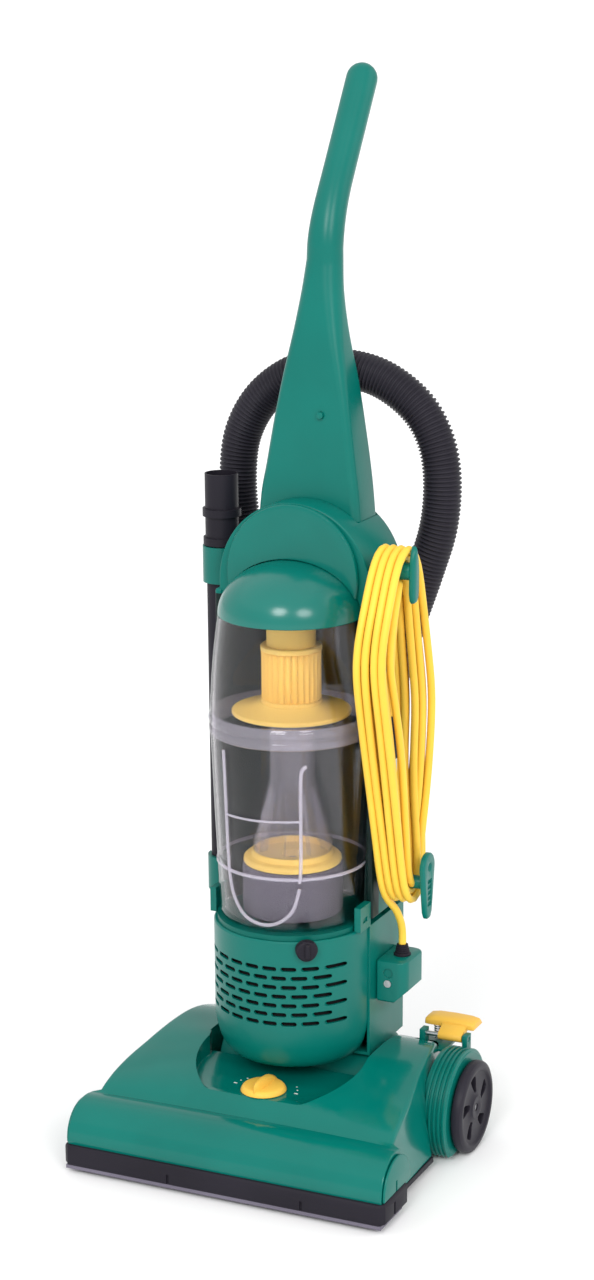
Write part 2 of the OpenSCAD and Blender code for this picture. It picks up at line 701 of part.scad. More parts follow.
module pleated_filter() color(yellow) cup_at() {
    for (a = [0:12:359]) rotate(a) translate([24.5, -1.1, 484]) cube([6, 2.2, 54]);
    z_tube(25, 21, 482.1, 540, [0, 0]);
    z_tube(25, 16, 540, rim_z + 20, [0, 0]);
}
module filter_flange() color(yellow) cup_at() difference() {
    union() {
        translate([0, 0, 470]) cylinder(r = 61, h = 5);
        translate([0, 0, 474.9]) cylinder(r1 = 50, r2 = 32, h = 7.1);
    }
    translate([0, 0, 460]) cylinder(r = 20, h = 40);
}
module cyclone_cone() color(clear_grey) cup_at() rotate_extrude() polygon([
    [22, 469.9], [24, 469.9], [24, 400], [41, 336], [41, 325], [38.5, 325], [38.5, 336], [22, 399]]);
module lower_filter() color("#4a4852") cup_at() {
    translate([0, 0, cup_z + 3.1]) cylinder(r = 52, h = 52);
}
module separator_disc() color(yellow) cup_at() {
    difference() {
        union() {
            translate([0, 0, 311.3]) cylinder(r = 51, h = 7);
            translate([0, 0, 318.2]) cylinder(r1 = 43, r2 = 40, h = 6.7);
        }
        translate([0, 0, 300]) cylinder(r = 12, h = 40);
    }
}

sole_plate();
foot_hood();
front_bumper();
nozzle_lip();
brush_end_caps();
belt_guard();
foot_screws();
pivot_bushes();
wheel_well_left();
wheel_guard_right();
rear_axles();
rear_wheel_left();
rear_wheel_right();
wheel_carriage();
front_rollers();
height_dial();
release_pedal();
pedal_pin();
pedal_spring();
brush_roll();
brush_bristles();
brush_bearings();
drive_belt();
motor_housing();
motor_cover();
exhaust_filter();
motor_stator();
motor_shaft();
fan();
cup_platform();
body_spine();
badge_plate();
handle();
power_switch();
air_duct();
hose();
hose_ports();
hose_hook();
tool_clips();
tool_cuff();
tool_wand();
cord_hook_upper();
cord_hook_lower();
cord_clamp();
body_screws();
cord_grommet();
cup_latch();
cup_lower();
cup_band();
cup_upper();
dome_lid();
pleated_filter();
filter_flange();
cyclone_cone();
separator_disc();
lower_filter();
cord_runs();
cord_hank();
plug();
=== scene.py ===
"""Upright vacuum cleaner: camera, cord, hose, shells, clear cup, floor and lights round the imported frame.

Shapes are written in millimetres in the CAD frame (+X cord side, -Y front, +Z up) and turned into metres
when a mesh is made. Each group of pieces has its own function, called right after it.
"""
import json
from math import acos, asin, atan2, copysign, cos, degrees, dist, hypot, pi, radians, sin

import bmesh
import bpy
from mathutils import Matrix, Vector


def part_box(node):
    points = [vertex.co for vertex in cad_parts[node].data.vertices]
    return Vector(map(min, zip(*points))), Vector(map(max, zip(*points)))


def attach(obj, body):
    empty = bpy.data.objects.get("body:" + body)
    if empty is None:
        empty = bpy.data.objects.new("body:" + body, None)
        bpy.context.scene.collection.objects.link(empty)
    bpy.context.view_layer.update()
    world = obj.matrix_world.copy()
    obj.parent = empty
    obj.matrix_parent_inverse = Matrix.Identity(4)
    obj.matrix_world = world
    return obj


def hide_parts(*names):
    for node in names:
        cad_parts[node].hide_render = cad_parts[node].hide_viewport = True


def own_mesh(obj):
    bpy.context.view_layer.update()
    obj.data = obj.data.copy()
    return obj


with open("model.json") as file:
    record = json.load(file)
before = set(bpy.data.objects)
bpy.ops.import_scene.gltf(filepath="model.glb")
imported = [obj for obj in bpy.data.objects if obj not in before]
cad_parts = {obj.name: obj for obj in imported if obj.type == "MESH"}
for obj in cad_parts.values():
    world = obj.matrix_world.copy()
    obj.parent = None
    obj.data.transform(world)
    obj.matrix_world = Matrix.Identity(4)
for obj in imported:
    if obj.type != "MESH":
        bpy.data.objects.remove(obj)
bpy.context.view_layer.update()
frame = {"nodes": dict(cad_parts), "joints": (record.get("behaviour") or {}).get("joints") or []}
MM = 0.001


# ---- places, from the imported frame

def box_mm(node):
    """Lowest and highest corner of a CAD node, in millimetres."""
    low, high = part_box(node)
    return low / MM, high / MM


def joint(name):
    return next(j for j in frame["joints"] if j["name"] == name)


def joint_place(name):
    """Where a joint is, in millimetres."""
    return [c / MM for c in joint(name)["pos_m"]]


cup_low, cup_high = box_mm("cup_lower")
CUP_Y = (cup_low.y + cup_high.y) / 2
CUP_Z = cup_low.z
band_low, band_high = box_mm("cup_band")
CUP_R = band_high.x
BAND_Z = (band_low.z + band_high.z) / 2
dome_low, dome_high = box_mm("dome_lid")
RIM_Z = dome_low.z
RIM_R = dome_high.x
DOME_H = dome_high.z - dome_low.z
cover_low, cover_high = box_mm("motor_cover")
COVER_R = cover_high.x
COVER_Y = cover_low.y + COVER_R
PIVOT = joint_place("recline")
AXLE = joint_place("rear_wheel_right_spin")
DIAL = joint_place("dial_turn")
DIAL_AXIS = Vector(joint("dial_turn")["axis"])
PEDAL = joint_place("pedal_press")
LATCH = joint_place("latch_swing")
LATCH_AXIS = Vector(joint("latch_swing")["axis"])


# ---- shapes

def arc(cx, cy, r, start, end, n):
    """Points of an arc, angles in degrees."""
    return [(cx + r * cos(radians(start + (end - start) * i / (n - 1))),
        cy + r * sin(radians(start + (end - start) * i / (n - 1)))) for i in range(n)]


def round_rect(w, h, r, n=6):
    """Outline of a centred rectangle with round corners."""
    points = []
    for sx, sy, a in ((1, 1, 0), (-1, 1, 90), (-1, -1, 180), (1, -1, 270)):
        points += arc(sx * (w / 2 - r), sy * (h / 2 - r), r, a, a + 90, n)
    return points


def around(n):
    """n angles evenly round a circle."""
    return [2 * pi * k / n for k in range(n)]


def shift(points, x, y):
    """Points in a plane, moved by (x, y)."""
    return [(x + px, y + py) for px, py in points]


def lerp(a, b, t):
    return a + (b - a) * t


def smooth_step(t):
    t = min(1.0, max(0.0, t))
    return t * t * (3 - 2 * t)


def curve_through(points, steps):
    """Catmull-Rom curve through given points of any dimension."""
    out = []
    for i in range(len(points) - 1):
        a, b, c, d = (points[max(i - 1, 0)], points[i], points[i + 1], points[min(i + 2, len(points) - 1)])
        for k in range(steps):
            t = k / steps
            out.append([0.5 * (2 * q + (r - p) * t + (2 * p - 5 * q + 4 * r - s) * t * t
                + (3 * q - p - 3 * r + s) * t ** 3) for p, q, r, s in zip(a, b, c, d)])
    out.append(list(points[-1]))
    return out


def distances(line):
    """Distance along a line of points to each of them."""
    total = [0.0]
    for p, q in zip(line, line[1:]):
        total.append(total[-1] + dist(p, q))
    return total


def evenly(line, n):
    """n + 1 points at even steps along a line of points."""
    total, k = distances(line), 0
    out = []
    for i in range(n + 1):
        want = total[-1] * i / n
        while k < len(total) - 2 and total[k + 1] < want:
            k += 1
        t = (want - total[k]) / max(1e-9, total[k + 1] - total[k])
        out.append([lerp(a, b, t) for a, b in zip(line[k], line[k + 1])])
    return out


def add_object(name, data):
    obj = bpy.data.objects.new(name, data)
    bpy.context.scene.collection.objects.link(obj)
    return obj


def solid(points, faces):
    """A mesh object from points in millimetres."""
    mesh = bpy.data.meshes.new("part")
    mesh.from_pydata([[c * MM for c in p] for p in points], [], faces)
    bm = bmesh.new()
    bm.from_mesh(mesh)
    bmesh.ops.remove_doubles(bm, verts=bm.verts, dist=2e-6)
    bmesh.ops.recalc_face_normals(bm, faces=bm.faces)
    bm.to_mesh(mesh)
    bm.free()
    return add_object("part", mesh)


def loft(rings, closed=False):
    """A skin over rings with the same number of points. closed joins the last ring to the first."""
    n, m = len(rings[0]), len(rings)
    points = [p for ring in rings for p in ring]
    faces = [(i * n + j, i * n + (j + 1) % n, (i + 1) % m * n + (j + 1) % n, (i + 1) % m * n + j)
        for i in range(m if closed else m - 1) for j in range(n)]
    if not closed:
        faces += [tuple(range(n - 1, -1, -1)), tuple((m - 1) * n + j for j in range(n))]
    return solid(points, faces)


def revolve(profile, at=(0, 0), turns=96):
    """A closed profile of (radius, height) turned about a vertical axis at (x, y)."""
    return loft([[(at[0] + r * cos(a), at[1] + r * sin(a), z) for r, z in profile] for a in around(turns)],
        closed=True)


def prism(outline, low, high, axis="z"):
    """An outline extruded along an axis: x takes (y, z) points, y takes (x, z) and z takes (x, y)."""
    put = {"x": lambda p, h: (h, p[0], p[1]), "y": lambda p, h: (p[0], h, p[1]), "z": lambda p,
        h: (p[0], p[1], h)}
    return loft([[put[axis](p, h) for p in outline] for h in (low, high)])


def block(low, high):
    return prism([(low[0], low[1]), (high[0], low[1]), (high[0], high[1]), (low[0], high[1])], low[2],
        high[2])


def cylinder_x(r, x0, x1, at, n=96):
    return prism(arc(at[0], at[1], r, 0, 360 - 360 / n, n), x0, x1, "x")


def cylinder_z(r, z0, z1, at, n=64):
    return prism(arc(at[0], at[1], r, 0, 360 - 360 / n, n), z0, z1)


def bake(obj):
    """Applies an object's modifiers."""
    made = bpy.data.meshes.new_from_object(obj.evaluated_get(bpy.context.evaluated_depsgraph_get()))
    obj.modifiers.clear()
    obj.data = made
    return obj


def combine(obj, others, operation):
    """Boolean of obj with each of the others, which are used up."""
    for other in others:
        m = obj.modifiers.new("combine", "BOOLEAN")
        m.operation = operation
        m.solver = "MANIFOLD"
        m.object = other
        bake(obj)
        bpy.data.objects.remove(other)
    return obj


def cut(obj, *others):
    return combine(obj, others, "DIFFERENCE")


def add(obj, *others):
    return combine(obj, others, "UNION")


def join(objs):
    """Separate solids as one object."""
    bm = bmesh.new()
    for o in objs:
        bm.from_mesh(o.data)
    bm.to_mesh(objs[0].data)
    bm.free()
    for o in objs[1:]:
        bpy.data.objects.remove(o)
    return objs[0]


def soften(obj, width, segments=3, angle=30):
    """Puts a modifier on obj that rounds every edge sharper than the angle."""
    m = obj.modifiers.new("soft edges", "BEVEL")
    m.width = width * MM
    m.segments = segments
    m.limit_method = "ANGLE"
    m.angle_limit = radians(angle)
    m.use_clamp_overlap = True
    return obj


def bevel(obj, width, segments=3, angle=30):
    """Rounds every edge sharper than the angle, in the mesh itself."""
    return bake(soften(obj, width, segments, angle))


def moved(obj, matrix):
    obj.data.transform(matrix)
    return obj


def turned(obj, angle, x, y):
    """Turns a mesh about its own Z, then moves it to (x, y)."""
    return moved(obj, Matrix.Translation(Vector((x, y, 0)) * MM) @ Matrix.Rotation(angle, 4, "Z"))


def mirrored(make):
    """Two solids made by one function, the second mirrored in X."""
    a, b = make(), make()
    b.data.transform(Matrix.Scale(-1, 4, (1, 0, 0)))
    b.data.flip_normals()
    return join([a, b])


def along(axis, at):
    """Matrix that takes +Z to an axis and the origin to a point in millimetres."""
    turn = Vector(axis).to_track_quat("Z", "Y").to_matrix().to_4x4()
    return Matrix.Translation(Vector(at) * MM) @ turn


def piece(obj, name, body, material, replaces=(), angle=32):
    """Names a finished mesh, smooths it up to an angle and hangs it on its body."""
    obj.name = name
    obj.data.name = name
    obj.data.materials.clear()
    obj.data.materials.append(material)
    obj.data.polygons.foreach_set("use_smooth", [True] * len(obj.data.polygons))
    obj.data.set_sharp_from_angle(angle=radians(angle))
    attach(obj, body)
    if replaces:
        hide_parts(*replaces)
    return obj


# ---- materials

def new_material(name):
    material = bpy.data.materials.new(name)
    material.use_nodes = True
    nodes = material.node_tree.nodes
    return material, nodes, material.node_tree.links, nodes["Principled BSDF"]


def setting(node, **values):
    """Sets a node's inputs. A space in an input's name is written as an underscore."""
    for name, value in values.items():
        node.inputs[name.replace("_", " ")].default_value = value
    return node


def noise(nodes, links, scale, detail=3.0, stretch=None):
    """Noise in the frame's own coordinates, in metres."""
    texture = setting(nodes.new("ShaderNodeTexNoise"), Scale=scale, Detail=detail)
    place = nodes.new("ShaderNodeTexCoord").outputs["Object"]
    if stretch:
        mapping = setting(nodes.new("ShaderNodeMapping"), Scale=stretch)
        links.new(place, mapping.inputs["Vector"])
        place = mapping.outputs["Vector"]
    links.new(place, texture.inputs["Vector"])
    return texture.outputs["Fac"]


def ramp_between(nodes, links, factor, low, high, at=(0.35, 0.65)):
    """Colour between two shades as a factor goes between two values."""
    ramp = nodes.new("ShaderNodeValToRGB")
    for stop, position, colour in zip(ramp.color_ramp.elements, at, (low, high)):
        stop.position, stop.color = position, (*colour, 1)
    links.new(factor, ramp.inputs["Fac"])
    return ramp.outputs["Color"]


def vary_gloss(nodes, links, shader, factor, low, high):
    """Roughness between two values as a factor goes from 0 to 1."""
    gloss = setting(nodes.new("ShaderNodeMapRange"), To_Min=low, To_Max=high)
    links.new(factor, gloss.inputs["Value"])
    links.new(gloss.outputs["Result"], shader.inputs["Roughness"])


def bumped(nodes, links, height, strength, distance, normal=None):
    """A normal, tilted by a height."""
    bump = setting(nodes.new("ShaderNodeBump"), Strength=strength, Distance=distance)
    links.new(height, bump.inputs["Height"])
    if normal:
        links.new(normal, bump.inputs["Normal"])
    return bump.outputs["Normal"]


def plastic(name, colour, rough, grain=0.0, grain_scale=900, wave=0.0, coat=0.0, edge=0.5, spread=0.06,
        specular=0.16):
    """Moulded plastic: slightly uneven colour and gloss, moulded grain, flow waviness and soft edges."""
    material, nodes, links, shader = new_material(name)
    low = [c * (1 - spread) for c in colour]
    high = [min(1, c * (1 + spread)) for c in colour]
    links.new(ramp_between(nodes, links, noise(nodes, links, 9), low, high), shader.inputs["Base Color"])
    vary_gloss(nodes, links, shader, noise(nodes, links, 35, 5), max(0.02, rough - 0.05), rough + 0.07)
    setting(shader, Coat_Weight=coat, Coat_Roughness=0.06, IOR=1.5, Specular_IOR_Level=specular)
    soft = setting(nodes.new("ShaderNodeBevel"), Radius=edge * MM)
    soft.samples = 4
    normal = soft.outputs["Normal"]
    for strength, scale, distance in ((wave, 28, 0.0012), (grain, grain_scale, 0.00025)):
        if strength:
            normal = bumped(nodes, links, noise(nodes, links, scale, 2), strength, distance, normal)
    links.new(normal, shader.inputs["Normal"])
    return material


def clear_plastic(name, tint, rough=0.04, clear=1.0, cover=0.5):
    """Thin clear moulding, faintly smoked: light goes straight through and the gloss is a coat on it."""
    material, nodes, links, shader = new_material(name)
    setting(shader, Base_Color=(*tint, 1), Transmission_Weight=clear, IOR=1.01, Coat_Weight=1.0,
        Coat_Roughness=0.03, Alpha=cover)
    vary_gloss(nodes, links, shader, noise(nodes, links, 20, 3), rough, rough + 0.05)
    return material


def foam(name, colour):
    """Open-cell filter foam."""
    material, nodes, links, shader = new_material(name)
    cells = setting(nodes.new("ShaderNodeTexVoronoi"), Scale=700)
    links.new(nodes.new("ShaderNodeTexCoord").outputs["Object"], cells.inputs["Vector"])
    depth = cells.outputs["Distance"]
    dark = [c * 0.45 for c in colour]
    links.new(ramp_between(nodes, links, depth, dark, colour, (0.1, 0.6)), shader.inputs["Base Color"])
    setting(shader, Roughness=0.95)
    links.new(bumped(nodes, links, depth, 0.68, 0.0006), shader.inputs["Normal"])
    return material


def steel(name, colour, rough):
    """Turned or drawn steel with fine marks."""
    material, nodes, links, shader = new_material(name)
    marks = noise(nodes, links, 500, 4, stretch=(1, 1, 0.15))
    low = [c * 0.85 for c in colour]
    links.new(ramp_between(nodes, links, marks, low, colour), shader.inputs["Base Color"])
    setting(shader, Metallic=1.0)
    vary_gloss(nodes, links, shader, marks, rough - 0.08, rough + 0.1)
    return material


GREEN = (0.0, 0.150, 0.122)
DARK_GREEN = (0.0, 0.118, 0.094)
BLACK = (0.016, 0.014, 0.021)
YELLOW = (0.86, 0.50, 0.075)
CORD_YELLOW = (0.94, 0.60, 0.07)
GREY = (0.16, 0.145, 0.19)

green_gloss = plastic("green_gloss", GREEN, 0.16, wave=0.08, coat=0.2, edge=0.8, specular=0.2)
green_dome = plastic("green_dome", GREEN, 0.20, wave=0.05, edge=0.8, specular=0.5)
green_satin = plastic("green_satin", GREEN, 0.30, grain=0.10, wave=0.08, edge=0.8, specular=0.26)
green_trim = plastic("green_trim", DARK_GREEN, 0.38, grain=0.12, edge=0.6)
black_grain = plastic("black_grain", BLACK, 0.45, grain=0.25, edge=0.5, spread=0.15)
black_soft = plastic("black_soft", BLACK, 0.55, grain=0.2, edge=0.5, spread=0.12)
black_hose = plastic("black_hose", (0.022, 0.020, 0.028), 0.42, grain=0.1, edge=0.3, spread=0.12)
wheel_black = plastic("wheel_black", (0.020, 0.018, 0.026), 0.42, grain=0.15, edge=0.6, spread=0.12)
grey_lip = plastic("grey_lip", GREY, 0.5, grain=0.2, spread=0.1)
yellow_gloss = plastic("yellow_gloss", YELLOW, 0.32, grain=0.08, edge=0.7)
yellow_filter = plastic("yellow_filter", (0.96, 0.66, 0.16), 0.5, grain=0.1, edge=0.4)
cord_jacket = plastic("cord_jacket", CORD_YELLOW, 0.36, grain=0.10, grain_scale=500, edge=0.1)
clear_cup = clear_plastic("clear_cup", (0.86, 0.83, 0.88), 0.02, cover=0.6)
clear_inner = clear_plastic("clear_inner", (0.88, 0.86, 0.92), 0.08, 0.93, cover=0.6)
clear_edge = clear_plastic("clear_edge", (0.80, 0.76, 0.86), 0.06, 0.80, cover=0.68)
clear_rib = clear_plastic("clear_rib", (0.80, 0.76, 0.86), 0.06, 0.62, cover=0.85)
dark_foam = foam("dark_foam", (0.150, 0.138, 0.175))
dark_felt = foam("dark_felt", (0.010, 0.010, 0.012))
plain_steel = steel("plain_steel", (0.58, 0.58, 0.60), 0.32)
motor_steel = steel("motor_steel", (0.36, 0.35, 0.36), 0.45)


def paint_recess_shade(material, radius, top):
    """Darkens the plastic inside a radius of the cup's axis and below a height with painted shade: a painted
    shadow on the recess behind the cup.
    """
    nodes, links = material.node_tree.nodes, material.node_tree.links
    shader = nodes["Principled BSDF"]

    def step(kind, operation, *values):
        """A maths node that works on sockets and constants."""
        made = nodes.new(kind)
        made.operation = operation
        for value, socket in zip(values, made.inputs):
            if isinstance(value, bpy.types.NodeSocket):
                links.new(value, socket)
            else:
                socket.default_value = value
        return made

    place = nodes.new("ShaderNodeTexCoord").outputs["Object"]
    flat = step("ShaderNodeVectorMath", "MULTIPLY", place, (1, 1, 0)).outputs["Vector"]
    away = step("ShaderNodeVectorMath", "DISTANCE", flat, (0, CUP_Y * MM, 0)).outputs["Value"]
    split = nodes.new("ShaderNodeSeparateXYZ")
    links.new(place, split.inputs[0])
    tests = [step("ShaderNodeMath", "LESS_THAN", value, limit * MM).outputs["Value"] for value,
        limit in ((away, radius), (split.outputs["Z"], top))]
    mix = nodes.new("ShaderNodeMix")
    mix.data_type = "RGBA"
    factor, plain, dark = mix.inputs[0], mix.inputs[6], mix.inputs[7]
    links.new(step("ShaderNodeMath", "MULTIPLY", *tests).outputs["Value"], factor)
    links.new(shader.inputs["Base Color"].links[0].from_socket, plain)
    # painted shade: a near-black green that stands in for the shadow in the recess behind the cup
    dark.default_value = (0.004, 0.016, 0.014, 1)
    links.new(mix.outputs[2], shader.inputs["Base Color"])
    return material


# the body's plastic, with painted shade in the recess behind the cup
green_body = paint_recess_shade(plastic("green_body", GREEN, 0.34, wave=0.08, edge=0.8, specular=0.2), CUP_R + 6,
    RIM_Z + 12)
bush_grey = plastic("bush_grey", (0.25, 0.24, 0.27), 0.45, grain=0.1)
belt_black = plastic("belt_black", (0.02, 0.02, 0.022), 0.7, grain=0.4)
mark_white = plastic("mark_white", (0.75, 0.78, 0.76), 0.5)
brush_core = plastic("brush_core", (0.028, 0.026, 0.034), 0.5, grain=0.2)
bristle_white = plastic("bristle_white", (0.62, 0.61, 0.60), 0.5, spread=0.2)


# ---- camera

CAMERA_AZIMUTH = 25.09    # where the camera stands, degrees from the front towards +X
CAMERA_DISTANCE = 2.6     # along the floor, from the cup's axis
CAMERA_HEIGHT = 1.189
VIEW_AZIMUTH = 24.99      # which way it looks
VIEW_PITCH = 18.22
VIEW_ROLL = -0.39
CAMERA_LENS = 74.39
CAMERA_SHIFT = 0.156


def make_camera():
    data = bpy.data.cameras.new("camera")
    camera = add_object("camera", data)
    stand, look, pitch, roll = (radians(v) for v in (CAMERA_AZIMUTH, VIEW_AZIMUTH, VIEW_PITCH, VIEW_ROLL))
    back = Vector((sin(look) * cos(pitch), -cos(look) * cos(pitch), sin(pitch)))
    level = Vector((cos(look), sin(look), 0))
    upright = back.cross(level)
    right = level * cos(roll) + upright * sin(roll)
    up = upright * cos(roll) - level * sin(roll)
    place = Vector((CAMERA_DISTANCE * sin(stand), CUP_Y * MM - CAMERA_DISTANCE * cos(stand), CAMERA_HEIGHT))
    camera.matrix_world = Matrix.Translation(place) @ Matrix((right, up, back)).transposed().to_4x4()
    data.lens = CAMERA_LENS
    data.shift_y = CAMERA_SHIFT
    data.clip_start, data.clip_end = 0.05, 400
    bpy.context.scene.camera = camera


make_camera()


# ---- cord

CORD_D = 8.0
# Route points repeated from part.scad, in millimetres
LEAD_POINTS = [(105, 40, 219.1), (105, 40, 229), (105, 37.5, 241), (104, 31, 254), (103, 22, 266)]
TAIL_POINTS = [(108, 14, 606), (108, 11, 590), (108, 4, 565), (108, -2, 530), (108, -4, 500),
    (108, -4, 478)]
HANK_LOBES = [(0, 626, 32), (-27, 545, 45), (20, 480, 50), (23, 296, 30)]   # y, z, radius
HANK_X = (95, 128.4)
HANK_MIDDLE = (HANK_X[0] + HANK_X[1]) / 2
TURNS = 11
COLUMNS = (4, 3, 4)       # strands across in each layer, from the outside in
LAYER_DEPTHS = (4.2, 11.2, 18.2)
STEPS_PER_TURN = 72


def lobe_loop():
    """The lobes' outline as arcs joined by tangents: a list of (centre y, centre z, radius, start, end) arcs.

    The outline runs from the bottom lobe up its front to the top and down its rear."""
    ends = []
    order = [HANK_LOBES[3], HANK_LOBES[1], HANK_LOBES[0], HANK_LOBES[2]]
    for i, one in enumerate(order):
        two = order[(i + 1) % 4]
        dy, dz = two[0] - one[0], two[1] - one[1]
        distance = hypot(dy, dz)
        # outer tangent on the left of the way from one lobe to the next
        lean = degrees(acos((one[2] - two[2]) / distance))
        ends.append(degrees(atan2(dz, dy)) + lean)
    arcs = []
    for i, lobe in enumerate(order):
        start, end = ends[i - 1], ends[i]
        while end > start:
            end -= 360
        arcs.append((*lobe, start, end))
    return arcs


def loop_points(depth, n):
    """n points evenly along the outline moved inwards by depth, from the middle of the bottom arc round."""
    line = []
    for cy, cz, r, start, end in lobe_loop():
        line += arc(cy, cz, r - depth, start, end, 24)
    half = 12
    return evenly(line[half:] + line[:half + 1], n)[:-1]


def hank_sites():
    """Place of each turn in the bundle: (x, depth)."""
    sites = []
    pitch = CORD_D + 0.25
    for layer, count in enumerate(COLUMNS):
        xs = [HANK_MIDDLE + (i - (count - 1) / 2) * pitch for i in range(count)]
        sites += [(x, LAYER_DEPTHS[layer]) for x in (xs if layer % 2 == 0 else xs[::-1])]
    return sites


def hank_points():
    """Turns round the hooks. Each keeps its place in the bundle and steps to the next near the bottom."""
    sites = hank_sites()
    loops = {depth: loop_points(depth, STEPS_PER_TURN) for depth in LAYER_DEPTHS}
    points = []
    step_from = 0.80
    for turn in range(TURNS):
        x0, d0 = sites[turn]
        x1, d1 = sites[min(turn + 1, TURNS - 1)]
        steps = STEPS_PER_TURN if turn < TURNS - 1 else STEPS_PER_TURN // 2
        for k in range(steps):
            u = k / STEPS_PER_TURN
            t = smooth_step((u - step_from) / (1 - step_from))
            p, q = loops[d0][k], loops[d1][k]
            # slack: strands part a little in the middle of each run and gather at the hooks
            belly = sin(2 * pi * u) ** 2
            sway = 0.6 * sin(3.1 * turn + 7 * u) + 0.4 * sin(1.7 * turn + 15 * u)
            x, y, z = lerp(x0, x1, t), lerp(p[0], q[0], t), lerp(p[1], q[1], t)
            inwards = lerp(d0, d1, t) - LAYER_DEPTHS[0]
            y += belly * (inwards * 0.75 * (1 if u < 0.5 else -1) + 0.5 * cos(5 * turn + 9 * u))
            points.append((x + sway * belly + 0.12 * belly * (x - HANK_MIDDLE), y, z))
    return points


def smooth_line(points, passes):
    """Evens out small corners where parts of a route meet."""
    for _ in range(passes):
        points = [points[0]] + [[(a + 2 * b + c) / 4 for a, b, c in zip(p, q, r)] for p, q,
            r in zip(points, points[1:], points[2:])] + [points[-1]]
    return points


def tube_curve(name, points, diameter, material):
    """A round cord as one open spline."""
    data = bpy.data.curves.new(name, "CURVE")
    data.dimensions = "3D"
    data.bevel_depth = diameter / 2 * MM
    data.bevel_resolution = 4
    data.use_fill_caps = True
    spline = data.splines.new("POLY")
    spline.points.add(len(points) - 1)
    for target, p in zip(spline.points, points):
        target.co = (*[c * MM for c in p], 1)
    spline.use_smooth = True
    data.materials.append(material)
    return add_object(name, data)


def make_cord():
    route = smooth_line(curve_through(LEAD_POINTS, 5) + hank_points() + curve_through(TAIL_POINTS, 6), 6)
    cord = tube_curve("power_cord", route, CORD_D, cord_jacket)
    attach(cord, "upright")
    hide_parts("cord_runs", "cord_hank")

    low, high = box_mm("cord_grommet")
    flare = high.z - 12
    profile = [(4.02, low.z + 1), (6.9, low.z + 1), (6.9, flare - 0.1), (9, flare), (9, flare + 1.6),
        (8.2, flare + 2.4)]
    for i in range(4):
        z = flare + 3.2 + i * 2.3
        r = 7.6 - i * 0.5
        profile += [(r - 0.9, z), (r, z + 0.5), (r, z + 1.3), (r - 0.9, z + 1.8)]
    profile += [(5.2, high.z - 0.2), (4.02, high.z - 0.2)]
    grommet = piece(revolve(profile, LEAD_POINTS[0][:2], 48), "strain_relief", "upright", black_soft,
        ["cord_grommet"])

    low, high = box_mm("plug")
    cx, cy = (low.x + high.x) / 2, (low.y + high.y) / 2
    stations = [(436, 9.6, 12.6, 3), (440, 9.9, 12.9, 4), (462, 9.6, 12.2, 4), (468, 8.2, 10, 5),
        (472, 6.4, 7, 5.5), (478, 5.2, 5.2, 5)]
    rings = []
    for z, half_x, half_y, r in stations:
        r = min(r, half_x - 0.1, half_y - 0.1)
        rings.append([(cx + px, cy + py, z) for px, py in round_rect(2 * half_x, 2 * half_y, r)])
    body = loft(rings)
    grips = [block((cx - 12, cy + s * 12.9 - 1, 446 + 5 * i), (cx + 12, cy + s * 12.9 + 1, 448 + 5 * i))
        for i in range(3) for s in (-1, 1)]
    plug = piece(cut(body, *grips), "plug_body", "upright", black_soft, ["plug"])
    pins = [block((cx - 3, cy + s - 0.8, 418), (cx + 3, cy + s + 0.8, 436.4)) for s in (-6, 6)]
    pins.append(cylinder_z(2.4, 417, 436.4, (cx + 5.5, cy), 24))
    pins = piece(join([bevel(p, 0.3, 2) for p in pins]), "plug_pins", "upright", plain_steel)


make_cord()


# ---- hose

HOSE_D = 40.0
HOSE_Y = 113
HOSE_POINTS = [(50, 436), (58, 480), (76, 540), (97, 600), (112, 650), (115, 700), (106, 740), (84, 772),
    (45, 796), (0, 803), (-45, 796), (-84, 770), (-108, 732), (-115, 688), (-112, 640), (-100, 580),
    (-90, 536)]
RIB_PITCH = 4.3
STEPS_PER_RIB = 6


def make_hose():
    fine = curve_through([(x, HOSE_Y, z) for x, z in HOSE_POINTS], 24)
    steps = int(distances(fine)[-1] / RIB_PITCH) * STEPS_PER_RIB
    path = [Vector(p) for p in evenly(fine, steps)]
    side_axis = Vector((0, 1, 0))
    rings = []
    for i, p in enumerate(path):
        tangent = (path[min(i + 1, steps)] - path[max(i - 1, 0)]).normalized()
        across = tangent.cross(side_axis)
        phase = cos(2 * pi * i / STEPS_PER_RIB)
        crest = copysign(abs(phase) ** 0.6, phase)
        r = HOSE_D / 2 - 1.25 + 1.2 * crest
        rings.append([p + r * (cos(a) * across + sin(a) * side_axis) for a in around(40)])
    hose = piece(loft(rings), "suction_hose", "upright", black_hose, ["hose"], angle=60)


make_hose()


def make_hose_ports():
    """Moulded elbows that the hose plugs into, with a swivel collar at each end of the hose."""
    low, radius = box_mm("hose_ports")[0], 22.6
    solids = []
    for x, z in ((47, 412), (-88, 512)):
        foot = prism(shift(round_rect(45, 24, 4), x, z - 12), low.y + 0.2, HOSE_Y, "y")
        elbow = revolve([(0.01, z - 24), (16, z - 24), (21, z - 21), (radius, z - 16), (radius, z + 17),
            (20.6, z + 17.6), (0.01, z + 17.6)], (x, HOSE_Y), 64)
        solids.append(bevel(add(foot, elbow), 1.2, 2, 40))
        for i in range(12):
            rib = block((-1, radius - 0.6, z - 6), (1, radius + 0.05, z + 14))
            solids.append(turned(rib, radians(30 * i), x, HOSE_Y))
    return piece(join(solids), "hose_elbows", "upright", black_grain, ["hose_ports"])


make_hose_ports()


# ---- foot

HOOD_LOW = 14.2
HOOD_WALL = 3.0
BULGE = (-147, 35, 35.8, 37)      # centre y and z, reach to the front, rise
DISH = (3, -40, 91)               # centre x and y, radius
DECK_Z = 88
SLOT_X = 92
SLOT_Y = -20
PIN_HOLE_R = 2.55                 # holes for the pedal pin
